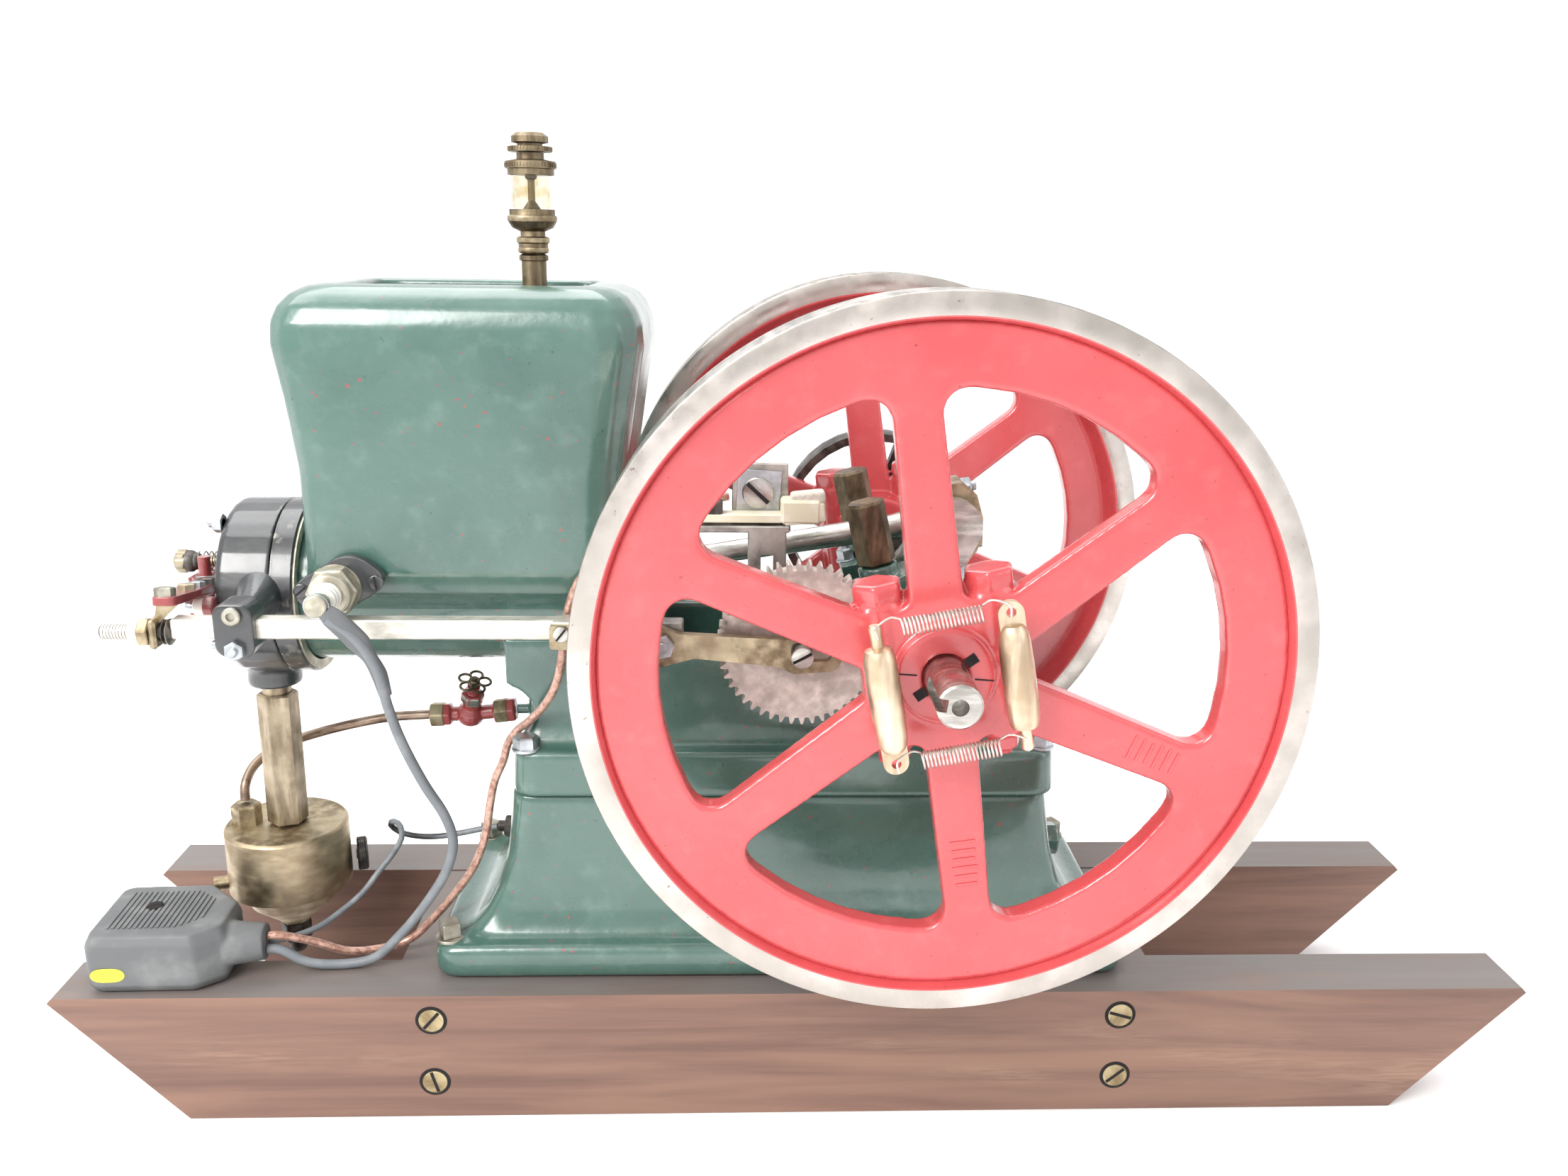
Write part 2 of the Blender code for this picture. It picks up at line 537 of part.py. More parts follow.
def valve_spring():
    """Outer shape of the intake valve spring, between the collar and the head."""
    start, end = INTAKE_END + COLLAR + GAP, HEAD_FACE - GAP
    shape = tube(2.0, 3.3, (start, INTAKE_Y, INTAKE_Z), (end, INTAKE_Y, INTAKE_Z), 20)
    node("intake_spring", shape, "grey_steel", (HEAD_FACE, INTAKE_Y, INTAKE_Z))


def piston():
    """Hollow piston with the gudgeon pin bored across it."""
    crown = GUDGEON_X - 16.0
    skirt = GUDGEON_X + 19.0
    radius = LINER_BORE - GAP
    profile = [(0, crown), (radius - 0.6, crown), (radius, crown + 0.6), (radius, skirt),
               (radius - 2.8, skirt), (radius - 2.8, crown + 5.0), (0, crown + 5.0)]
    body = turned(profile, along((0, 0, SHAFT_Z), (1, 0, 0)), 28)
    bore = rod(3.5, (GUDGEON_X, -30, SHAFT_Z), (GUDGEON_X, 30, SHAFT_Z), 16)
    node("piston", combined(body, cut=[bore]), "grey_steel", (GUDGEON_X, 0, SHAFT_Z))
    pin = rod(3.2, (GUDGEON_X, -16.4, SHAFT_Z), (GUDGEON_X, 16.4, SHAFT_Z), 16, 0.4)
    node("gudgeon_pin", pin, "bright_steel", (GUDGEON_X, 0, SHAFT_Z))


# ---- crank train --------------------------------------------------------------------
def rod_frame():
    """Matrix of the connecting rod: local X from the gudgeon pin to the crankpin, local Z across it."""
    c, s = math.cos(ROD_ANGLE), math.sin(ROD_ANGLE)
    return Matrix(((c, -s, 0, GUDGEON_X), (0, 0, 1, 0), (s, c, 0, SHAFT_Z), (0, 0, 0, 1)))


def connecting_rod():
    """Polished round rod with a solid small end and a split big end."""
    frame = rod_frame()
    along_rod = frame @ along((0, 0, 0), (1, 0, 0))
    shank = turned([(0, 6.0), (3.0, 6.0), (3.0, 60.0), (3.7, ROD_LENGTH - 16.0), (4.6, ROD_LENGTH - 10.0),
                    (4.6, ROD_LENGTH - 8.0), (0, ROD_LENGTH - 8.0)], along_rod, 24)
    small_end = extruded(circle(6.8), -6.0, 6.0, frame)
    small_bore = extruded(circle(3.5, count=16), -8.0, 8.0, frame)
    half = extruded([(ROD_LENGTH - 9.0, -11.2), (ROD_LENGTH - GAP, -11.2), (ROD_LENGTH - GAP, 11.2),
                     (ROD_LENGTH - 9.0, 11.2)], -6.4, 6.4, frame)
    big_bore = extruded(circle(5.3, (ROD_LENGTH, 0)), -10.0, 10.0, frame)
    bm = combined(shank, add=[small_end, half], cut=[small_bore, big_bore])
    node("connecting_rod", bm, "bright_steel", (GUDGEON_X, 0, SHAFT_Z))
    cap_outline = [(ROD_LENGTH + GAP, -11.2), (ROD_LENGTH + 5.0, -11.2), (ROD_LENGTH + 8.6, -7.0),
                   (ROD_LENGTH + 9.6, 0.0), (ROD_LENGTH + 8.6, 7.0), (ROD_LENGTH + 5.0, 11.2),
                   (ROD_LENGTH + GAP, 11.2)]
    cap_bore = extruded(circle(5.3, (ROD_LENGTH, 0)), -10.0, 10.0, frame)
    cap = combined(extruded(cap_outline, -6.4, 6.4, frame), cut=[cap_bore])
    node("big_end_cap", cap, "brass", (PIN_X, 0, PIN_Z))
    pin = rod(5.0, (PIN_X, -8.0, PIN_Z), (PIN_X, 8.0, PIN_Z), 24)
    node("crankpin", pin, "bright_steel", (PIN_X, 0, PIN_Z))


def crankshaft():
    """Two half shafts, each with its own web; the crankpin joins them."""
    toward = Vector((math.cos(CRANK_ANGLE), math.sin(CRANK_ANGLE)))
    web = circle(8.2, toward * CRANK_THROW, CRANK_ANGLE - math.pi / 2, CRANK_ANGLE + math.pi / 2, 13)
    web += circle(10.4, (0, 0), CRANK_ANGLE + math.pi / 2, CRANK_ANGLE + 1.5 * math.pi, 15)
    for name, side in (("crankshaft_near", -1), ("crankshaft_far", 1)):
        low, high = sorted((side * 8.3, side * 13.6))
        plate = extruded(web, low, high, upright(SHAFT_X, SHAFT_Z))
        start = (SHAFT_X, side * 12.0, SHAFT_Z)
        journal = rod(SHAFT_RADIUS, start, (SHAFT_X, side * SHAFT_END, SHAFT_Z), 24, 0.5)
        cuts = []
        if side < 0:
            cuts = [rod(2.0, (SHAFT_X, -SHAFT_END - 1, SHAFT_Z), (SHAFT_X, 6.0 - SHAFT_END, SHAFT_Z), 16),
                    keyway_cutter()]
        node(name, combined(plate, add=[journal], cut=cuts), "bright_steel", (SHAFT_X, 0, SHAFT_Z))


def keyway_cutter():
    """Keyway milled in the free end of the shaft, on its left side."""
    shape = block((-SHAFT_RADIUS - 1.0, -SHAFT_END - 1.0, -1.5), (2.4 - SHAFT_RADIUS, -SHAFT_END + 15.0, 1.5))
    place = Matrix.Translation((SHAFT_X, 0, SHAFT_Z)) @ Matrix.Rotation(math.radians(8), 4, "Y")
    bmesh.ops.transform(shape, matrix=place, verts=shape.verts)
    return shape


def window_outline(index):
    """One of the openings between the spokes, with rounded corners."""
    middle = math.pi / 2 + SPOKE_TURN + (index + 0.5) * 2 * math.pi / SPOKES
    outer, inner, half_spoke = 67.8, 19.5, 5.9
    half_sector = math.pi / SPOKES
    outer_swing = half_sector - math.asin((half_spoke - 0.3) / outer)
    inner_swing = half_sector - math.asin((half_spoke + 0.5) / inner)
    arc = circle(outer, (0, 0), middle - outer_swing, middle + outer_swing, 8)
    root = circle(inner, (0, 0), middle + inner_swing, middle - inner_swing, 3)
    points = arc + root
    radii = [5.5] + [0] * 6 + [5.5, 2.2, 0, 2.2]
    return filleted(points, radii)


def wheel_mesh(side):
    """Flywheel: machined rim, web ring with six spokes, hub with clamp lugs."""
    face = side * WHEEL_FACE
    place = along((SHAFT_X, face, SHAFT_Z), (0, -side, 0))
    rim = turned([(WHEEL_RADIUS - 0.5, 0), (WHEEL_RADIUS, 0.5), (WHEEL_RADIUS, WHEEL_WIDTH - 0.5),
                  (WHEEL_RADIUS - 0.5, WHEEL_WIDTH), (82.4, WHEEL_WIDTH), (80.8, 8.6), (66.0, 8.6),
                  (66.0, 2.2), (82.2, 1.6), (83.3, 0)], place, 56)
    low, high = sorted((side * (WHEEL_FACE - 2.2), side * (WHEEL_FACE - 8.6)))
    web = extruded(circle(70.0, count=32), low, high, upright(SHAFT_X, SHAFT_Z))
    hub = turned([(0, -0.6), (11.7, -0.6), (11.7, 0.8), (13.9, 1.6), (13.9, 21.0), (0, 21.0)], place, 24)
    lugs = []
    across = Vector((math.cos(SPOKE_TURN), 0, math.sin(SPOKE_TURN)))
    up = Vector((-math.sin(SPOKE_TURN), 0, math.cos(SPOKE_TURN)))
    centre = Vector((SHAFT_X, side * (WHEEL_FACE - 8.0), SHAFT_Z))
    for offset in (-13.2, 13.2):
        lugs.append(rod(5.4, centre + across * offset - up * 19.0, centre + across * offset + up * 19.0, 12))
    windows = [extruded(window_outline(k), low - 9.0, high + 9.0, upright(SHAFT_X, SHAFT_Z))
               for k in range(SPOKES)]
    bore = rod(SHAFT_RADIUS + GAP, (SHAFT_X, -120, SHAFT_Z), (SHAFT_X, 120, SHAFT_Z), 24)
    plate = combined(web, add=[rim], cut=windows)
    return combined(plate, add=[hub] + lugs, cut=[bore])


def flywheels():
    for name, side in (("flywheel_near", -1), ("flywheel_far", 1)):
        node(name, wheel_mesh(side), "red_enamel", (SHAFT_X, side * WHEEL_FACE, SHAFT_Z))


def belt_pulley():
    """Small flat-belt pulley on the far end of the shaft, with four spokes."""
    start, end = 86.0, 99.0
    rim = turned([(33.0, start), (33.4, (start + end) / 2), (33.0, end), (30.2, end), (30.2, start)],
                 along((SHAFT_X, 0, SHAFT_Z), (0, 1, 0)), 32)
    hub = rod(9.0, (SHAFT_X, start - 1.5, SHAFT_Z), (SHAFT_X, end, SHAFT_Z), 24)
    arms = []
    for k in range(4):
        turn = Matrix.Translation((SHAFT_X, 0, SHAFT_Z)) @ Matrix.Rotation(math.radians(20 + 90 * k), 4, "Y")
        arm = block((6.0, start + 4.0, -2.6), (31.5, start + 9.0, 2.6))
        bmesh.ops.transform(arm, matrix=turn, verts=arm.verts)
        arms.append(arm)
    bore = rod(SHAFT_RADIUS + GAP, (SHAFT_X, 60, SHAFT_Z), (SHAFT_X, 120, SHAFT_Z), 24)
    node("belt_pulley", combined(rim, add=arms + [hub], cut=[bore]), "dark_iron", (SHAFT_X, start, SHAFT_Z))


def gear_outline(teeth, turn):
    """Straight-flanked teeth a little slimmer than full, so that the pair runs free."""
    pitch_radius = GEAR_MODULE * teeth / 2
    step = 2 * math.pi / teeth
    outline = []
    for k in range(teeth):
        middle = turn + k * step
        for radius, width in ((pitch_radius - 1.1, -0.31), (pitch_radius + 0.72, -0.10),
                              (pitch_radius + 0.72, 0.10), (pitch_radius - 1.1, 0.31)):
            angle = middle + width * step
            outline.append((radius * math.cos(angle), radius * math.sin(angle)))
    return outline


def timing_gears():
    crank_turn = GEAR_LINE + math.pi + math.pi / CRANK_TEETH
    crank = extruded(gear_outline(CRANK_TEETH, crank_turn), GEAR_FRONT, GEAR_BACK, upright(SHAFT_X, SHAFT_Z))
    crank_bore = rod(SHAFT_RADIUS + GAP, (SHAFT_X, -60, SHAFT_Z), (SHAFT_X, -30, SHAFT_Z), 24)
    node("crank_gear", combined(crank, cut=[crank_bore]), "grey_steel", (SHAFT_X, GEAR_FRONT, SHAFT_Z))
    wheel = extruded(gear_outline(TIMING_TEETH, GEAR_LINE), GEAR_FRONT, GEAR_BACK, upright(CAM_X, CAM_Z))
    cam = extruded(circle(6.0, (3.0, 0), -1.2, 1.2, 7) + circle(7.0, (0, 0), 1.2, 2 * math.pi - 1.2, 17),
                   GEAR_BACK - 0.2, GEAR_BACK + 4.4, upright(CAM_X, CAM_Z))
    bore = rod(3.3, (CAM_X, -60, CAM_Z), (CAM_X, -20, CAM_Z), 16)
    node("timing_gear", combined(wheel, add=[cam], cut=[bore]), "grey_steel", (CAM_X, GEAR_FRONT, CAM_Z))
    stud = turned([(0, 0), (3.0, 0), (3.0, 20.6), (2.2, 20.6), (2.2, 28.0), (0, 28.0)],
                  along((CAM_X, -WALL_FACE - GAP, CAM_Z), (0, -1, 0)), 16)
    node("cam_stud", stud, "grey_steel", (CAM_X, -WALL_FACE, CAM_Z))


# ---- valve gear ---------------------------------------------------------------------
def push_rod():
    """Square bar with a round threaded left end, and the brass yoke that rides over the cam stud."""
    half = ROD_BAR / 2
    bar = block((ROD_START, ROD_Y - half, ROD_Z - half), (-52.0, ROD_Y + half, ROD_Z + half), 0.4)

    def thread_bar(radius, start, end):
        z = ROD_Z - THREAD_DROP
        return rod(radius, (start, ROD_Y, z), (end, ROD_Y, z), 20, 0.3)

    bar = combined(bar, add=[thread_bar(1.9, -184.0, -160.0)])
    node("push_rod", bar, "bright_steel", (ROD_START, ROD_Y, ROD_Z))
    thread_z = ROD_Z - THREAD_DROP
    nut = combined(hexagon(6.8, (-173.8, ROD_Y, thread_z), (-171.0, ROD_Y, thread_z), 0.3, 0.3),
                   add=[thread_bar(3.2, -176.1, -173.4)], cut=[thread_bar(2.2, -190.0, -160.0)])
    node("push_rod_nut", nut, "brass", (-173.5, ROD_Y, ROD_Z))
    front = ROD_Y - half - GAP
    outline = filleted([(-67.5, 141.4), (-50.0, 141.2), (-45.0, 136.6), (-38.0, 136.8), (-30.0, 139.0),
                        (-8.0, 136.8), (-4.0, 134.8), (8.6, 135.6), (8.6, 143.8), (-10.0, 144.4),
                        (-34.0, 145.6), (-41.0, 148.4), (-50.0, 147.6), (-67.5, 147.8)],
                       [0.8, 3, 2, 3, 3, 2, 2, 3, 3, 4, 3, 3, 3, 0.8], 2)
    slot = filleted([(CAM_X - 2.8, CAM_Z - 2.6), (CAM_X + 7.8, CAM_Z - 2.6),
                     (CAM_X + 7.8, CAM_Z + 2.6), (CAM_X - 2.8, CAM_Z + 2.6)], [1.5] * 4, 2)
    plate = combined(extruded(outline, front - 2.6, front, upright(0, 0)),
                     cut=[extruded(slot, front - 9.0, front + 9.0, upright(0, 0))])
    node("cam_follower_link", plate, "brass", (-60, front, ROD_Z))


def push_rod_guide():
    """Black block bolted to the head that the push rod slides through."""
    body = block((-153.4, -47.2, 138.6), (-143.2, -37.6, 153.0), 1.6)
    arm = rod(4.6, (-149.0, -39.0, SHAFT_Z + 1.0), (-149.0, -HEAD_RADIUS - 0.5, SHAFT_Z + 1.0), 20)
    half = ROD_BAR / 2 + GAP
    hole = block((-170.0, ROD_Y - half, ROD_Z - half), (-130.0, ROD_Y + half, ROD_Z + half))
    node("push_rod_guide", combined(body, add=[arm], cut=[hole]), "black_enamel", (-148, ROD_Y, ROD_Z))


def rocker():
    """Red rocker arm of two plates round a boss, on the vertical pin of a bracket on the head."""
    upper = filleted([(-169.6, -44.5), (-163.4, -44.5), (-163.4, -28.0), (-164.4, -18.0),
                      (-164.4, -8.5), (-173.0, -8.5), (-173.0, -20.0), (-170.0, -31.0)],
                     [1.6, 1.6, 3, 2, 2, 2, 3, 3], 2)
    tip = EXHAUST_END - 0.4
    lower = filleted([(-172.2, -14.0), (-164.6, -14.0), (-164.6, -7.0), (tip, -2.0), (tip, 13.0),
                      (tip - 4.2, 13.0), (tip - 4.8, -6.0)],
                     [1.5, 1.5, 2, 2, 0.6, 1.5, 3], 2)
    pivot = Vector((ROCKER_X, ROCKER_Y, 0))
    low, high = pivot + Vector((0, 0, ROCKER_LOW)), pivot + Vector((0, 0, ROCKER_HIGH))
    below, above = pivot + Vector((0, 0, ROCKER_LOW - 6.0)), pivot + Vector((0, 0, ROCKER_HIGH + 6.0))
    arm = combined(extruded(upper, ROCKER_HIGH - ROCKER_PLATE + GAP, ROCKER_HIGH),
                   add=[extruded(lower, ROCKER_LOW, ROCKER_LOW + ROCKER_PLATE), rod(3.6, low, high, 24)],
                   cut=[rod(2.0, below, above, 16)])
    node("rocker_arm", arm, "red_enamel", low)
    stub = pivot + Vector((0, 0, ROCKER_LOW - 4.8))
    wall = Vector((HEAD_FACE - GAP, ROCKER_Y, stub.z))
    bracket = combined(rod(4.2, wall, stub - Vector((3.9, 0, 0)), 20, 0.5),
                       add=[rod(1.7, stub, high + Vector((0, 0, 2.4)), 16)])
    node("rocker_bracket", bracket, "red_enamel", stub)


def rocker_tongue():
    """Brass ring on the push rod's thread with a tongue that reaches up to the rocker arm."""
    thread_z = ROD_Z - THREAD_DROP
    ring = block((-170.7, -45.9, 140.4), (-168.7, -38.9, 148.2), 0.6)
    top = ROCKER_HIGH - ROCKER_PLATE - 0.2
    blade = extruded([(-170.5, 147.4), (-168.9, 146.6), (-166.8, 148.6), (-163.6, top),
                      (-169.0, top), (-169.4, 149.4)], -42.9, -41.7, upright(0, 0))
    bore = rod(2.2, (-180, ROD_Y, thread_z), (-160, ROD_Y, thread_z), 16)
    node("rocker_tongue", combined(ring, add=[blade], cut=[bore]), "brass", (-171, ROD_Y, ROD_Z))


# ---- ignition -----------------------------------------------------------------------
def spark_plug():
    """Diamond flange on the jacket, hexagonal steel shell and white insulator with its terminal."""
    flange = filleted([(PLUG_X - 13.0, PLUG_Z - 1.0), (PLUG_X - 2.0, PLUG_Z - 9.0),
                       (PLUG_X + 13.0, PLUG_Z + 1.0), (PLUG_X + 2.0, PLUG_Z + 9.0)], [3.4, 6.0, 3.4, 6.0], 4)
    hole = rod(5.2, (PLUG_X, -60, PLUG_Z), (PLUG_X, 0, PLUG_Z), 24)
    plate = combined(extruded(flange, PLUG_SEAT - GAP - 3.6, PLUG_SEAT - GAP, upright(0, 0)), cut=[hole])
    node("spark_plug_flange", plate, "black_enamel", (PLUG_X, PLUG_SEAT, PLUG_Z))
    seat = PLUG_SEAT - GAP - 3.6 - GAP
    shell = combined(hexagon(11.8, (PLUG_X, seat, PLUG_Z), (PLUG_X, seat - 5.0, PLUG_Z), 0.07, 0.6),
                     add=[rod(5.4, (PLUG_X, seat - 4.0, PLUG_Z), (PLUG_X, seat - 7.4, PLUG_Z), 24, 0.5),
                          rod(4.8, (PLUG_X, seat + 3.6, PLUG_Z), (PLUG_X, seat - 2.0, PLUG_Z), 24)])
    node("spark_plug_shell", shell, "bright_steel", (PLUG_X, seat, PLUG_Z))
    nose = seat - 7.4 - GAP
    insulator = turned([(0, 0), (3.6, 0), (3.3, 6.0), (2.2, 8.2), (2.2, 8.6), (2.4, 8.8), (2.4, 12.0),
                        (1.9, 12.5), (0, 12.5)], along((PLUG_X, nose, PLUG_Z), (0, -1, 0)), 16)
    node("spark_plug_insulator", insulator, "porcelain", (PLUG_X, nose, PLUG_Z))


def contact_breaker():
    """Forked bracket on the crankcase wall with the insulated breaker arm and its felt wiper."""
    post = block((-16.0, -WALL_FACE - 2.6, 128.0), (-5.4, -WALL_FACE - GAP, 169.4), 0.4)
    shelf = block((-33.0, -WALL_FACE - 2.6, 167.6), (-4.6, -14.2, 169.4), 0.3)
    fork = block((-12.4, -27.0, 154.0), (-9.0, -18.0, 161.5))
    upright_plate = block((-20.4, -16.8, 168.6), (-4.8, -15.2, 185.4), 0.3)
    bm = combined(post, add=[shelf, upright_plate], cut=[fork])
    node("breaker_bracket", bm, "grey_steel", (-11, -WALL_FACE, 128))
    arm = combined(block((-30.0, -23.6, 170.0), (-6.0, -17.4, 172.4), 0.3),
                   add=[block((-7.0, -24.6, 169.8), (4.0, -17.0, 176.6), 0.8)])
    node("breaker_arm", arm, "nylon", (-30, -20, 170))


# ---- fuel system --------------------------------------------------------------------
def mixer():
    """Hexagonal brass riser from the fuel bowl up to the head, with the bowl and its needle."""
    column = combined(hexagon(10.2, (MIXER_X - 0.2, 0, BOWL_TOP + GAP), (MIXER_X, 0, 112.6), 0.35, 0.6),
                      add=[rod(4.2, (MIXER_X, 0, 112.0), (MIXER_X, 0, BOSS_BOTTOM - GAP), 20)])
    node("mixer_riser", column, "bronze", (MIXER_X, 0, BOWL_TOP))
    edge = BOWL_RADIUS
    bowl = turned([(0, 37.4), (4.6, 37.4), (5.4, 38.6), (edge - 5.8, 44.4), (edge - 2.8, 50.4),
                   (edge - 0.4, 50.8), (edge, 51.4), (edge, BOWL_TOP - 0.6), (edge - 0.6, BOWL_TOP),
                   (0, BOWL_TOP)],
                  along((BOWL_X, 0, 0), (0, 0, 1)), 28)
    stub = rod(2.2, (BOWL_X - 12.0, -4.0, 52.6), (BOWL_X - 21.0, -7.0, 52.6), 16)
    drain = hexagon(7.0, (BOWL_X, 0, 33.6), (BOWL_X, 0, 38.4), 0.2, 0.4)
    union = hexagon(7.6, (UNION.x, UNION.y, BOWL_TOP - 1.0), UNION, 0.4, 0.6)
    node("fuel_bowl", combined(bowl, add=[stub, drain, union]), "brass", (BOWL_X, 0, BOWL_TOP))
    outward = Vector((0.95, 0.31, 0.0)).normalized()
    base = Vector((BOWL_X + 17.4, 6.0, 56.0)) + outward * 0.4
    needle = turned([(0, 0.6), (1.6, 0.6), (1.6, 0.9), (4.8, 0.9), (5.2, 1.5), (5.2, 3.3), (4.8, 3.9),
                     (0, 3.9)],
                    along(base, outward), 20)
    node("mixer_needle", needle, "dark_iron", base)


def elbow_notch():
    """Recess in the end of the bed that seats the fuel elbow."""
    low = (ELBOW_X - 3.0, VALVE.y - 3.2 - GAP, 97.6 - GAP)
    return block(low, (ELBOW_X + 7.4, VALVE.y + 3.2 + GAP, 121.6))


def fuel_route():
    """Points of the copper pipe from the bowl's union, up, behind the riser and along to the valve."""
    start = UNION + Vector((0, 0, GAP))
    return [start, start + Vector((0, 0, 5)), Vector((-168.7, 1.5, 89.0)), Vector((-166.0, 5.5, 95.2)),
            Vector((-160.5, 9.5, 98.0)), Vector((-152.0, 11.0, 98.8)), Vector((-140.0, 11.0, 99.4)),
            Vector((-126.0, 11.0, 100.2)), Vector((VALVE.x - 12.6, VALVE.y, VALVE.z - 0.3))]


def smooth_points(route, spacing):
    """Even points on the centripetal Catmull-Rom curve through the route."""
    pts = [2 * route[0] - route[1]] + list(route) + [2 * route[-1] - route[-2]]
    dense = []
    for a, b, c, d in zip(pts, pts[1:], pts[2:], pts[3:]):
        t1 = (b - a).length ** 0.5
        t2 = t1 + (c - b).length ** 0.5
        t3 = t2 + (d - c).length ** 0.5
        for k in range(16):
            t = t1 + (t2 - t1) * k / 16
            ab = a * ((t1 - t) / t1) + b * (t / t1)
            bc = b * ((t2 - t) / (t2 - t1)) + c * ((t - t1) / (t2 - t1))
            cd = c * ((t3 - t) / (t3 - t2)) + d * ((t - t2) / (t3 - t2))
            low = ab * ((t2 - t) / t2) + bc * (t / t2)
            high = bc * ((t3 - t) / (t3 - t1)) + cd * ((t - t1) / (t3 - t1))
            dense.append(low * ((t2 - t) / (t2 - t1)) + high * ((t - t1) / (t2 - t1)))
    dense.append(Vector(route[-1]))
    lengths = [0.0]
    for before, point in zip(dense, dense[1:]):
        lengths.append(lengths[-1] + (point - before).length)
    count = max(3, round(lengths[-1] / spacing))
    even, at = [], 0
    for k in range(count + 1):
        goal = lengths[-1] * k / count
        while at < len(lengths) - 2 and lengths[at + 1] < goal:
            at += 1
        part = (goal - lengths[at]) / max(lengths[at + 1] - lengths[at], 1e-9)
        even.append(dense[at].lerp(dense[at + 1], part))
    return even


def pipe(name, route, radius, finish, spacing, resolution=2):
    """Round tube or lead along a smooth route, with filled ends."""
    points = smooth_points([Vector(p) for p in route], spacing)
    curve = bpy.data.curves.new(name, "CURVE")
    curve.dimensions = "3D"
    spline = curve.splines.new("POLY")
    spline.points.add(len(points) - 1)
    for slot, point in zip(spline.points, points):
        slot.co = (*(point * MM), 1.0)
    curve.bevel_depth = radius * MM
    curve.bevel_resolution = resolution
    curve.use_fill_caps = True
    curve.materials.append(finish_material(finish))
    obj = bpy.data.objects.new(name, curve)
    bpy.context.collection.objects.link(obj)
    return obj


def fuel_line():
    pipe("fuel_pipe", fuel_route(), 1.45, "copper_pipe", 4.0)
    left, right = VALVE - Vector((12.3, 0, 0.3)), VALVE + Vector((15.6, 0, 1.6))
    gland = VALVE + VALVE_UP * 5.4
    body = combined(turned([(0, -4.3), (2.4, -3.6), (4.0, -1.6), (4.3, 0), (4.0, 1.8), (2.8, 3.4), (2.8, 5.8),
                            (0, 5.8)], along(VALVE, VALVE_UP), 16),
                    add=[hexagon(6.4, left, left + Vector((6.6, 0, 0.2)), 0.3, 0.5),
                         rod(2.3, left + Vector((6, 0, 0.2)), VALVE, 16),
                         rod(2.3, VALVE, right - Vector((8.0, 0, 0.8)), 16),
                         hexagon(6.8, right - Vector((8.2, 0, 0.8)), right - Vector((1.4, 0, 0.1)), 0.3, 0.5),
                         hexagon(6.0, gland, gland + VALVE_UP * 3.8, 0.3, 0.4),
                         rod(2.0, gland, VALVE + VALVE_UP * (VALVE_STEM - GAP), 16)])
    node("fuel_valve_body", body, "red_enamel", VALVE)
    hub = VALVE + VALVE_UP * VALVE_STEM
    node("fuel_valve_wheel", handwheel(hub), "bronze", hub)
    low = Vector((ELBOW_X, VALVE.y - 3.2, 97.6))
    bolt = Vector((ELBOW_X + 3.2, VALVE.y, 116.0))
    pipe_end = Vector((ELBOW_X + 2.0, VALVE.y, VALVE.z + 1.8))
    elbow = combined(block(low, low + Vector((6.4, 6.4, 18.8)), 1.0),
                     add=[hexagon(6.4, bolt, bolt + Vector((0, 0, 4.2)), 0.2, 0.6),
                          rod(1.6, right + Vector((GAP - 1.4, 0, 0)), pipe_end, 12)])
    node("fuel_pickup_elbow", elbow, "green_enamel", (ELBOW_X, VALVE.y, BED_TOP))


def handwheel(hub):
    """Five-lobed handwheel, its lobes open like flower petals."""
    place = along(hub, VALVE_UP) @ Matrix.Rotation(0.3, 4, "Z")
    petals = []
    for k in range(40):
        angle = 2 * math.pi * k / 40
        radius = 4.3 + 0.7 * math.cos(5 * angle)
        petals.append((radius * math.cos(angle), radius * math.sin(angle)))
    centre = turned([(0, 0), (1.7, 0), (1.7, 2.4), (0, 2.4)], place, 12)
    return combined(extruded(petals, 0.4, 2.0, place), add=[centre])


# ---- oiler --------------------------------------------------------------------------
def oiler():
    """Drip oiler on a pipe that stands up through the hopper."""
    def part(name, profile, finish):
        shape = turned(profile, along((OILER_X, 0, 0), (0, 0, 1)), 18)
        node(name, shape, finish, (OILER_X, 0, profile[0][1]))

    part("oiler_pipe", [(0, 174.4), (3.4, 174.4), (3.4, 238.4), (4.0, 238.6), (4.0, 239.8), (3.0, 240.4),
                        (4.0, 241.6), (4.1, 242.8), (3.4, 244.2), (3.4, 246.2), (5.6, 247.2), (6.6, 248.8),
                        (6.2, 249.8), (6.2, 252.0), (0, 252.0)], "bronze")
    part("oiler_glass", [(0, 252.3), (5.7, 252.3), (5.7, 260.6), (0, 260.6)], "glass")
    part("oiler_top", [(0, 260.9), (6.3, 260.9), (6.3, 262.4), (6.9, 262.6), (6.9, 264.4), (3.7, 265.0),
                       (3.7, 266.6), (0, 266.6)], "bronze")
    part("oiler_knob", [(0, 266.9), (5.9, 266.9), (5.9, 268.2), (3.4, 268.5), (3.4, 269.0), (5.0, 269.3),
                        (5.0, 270.8), (3.6, 271.8), (0, 272.0)], "bronze")


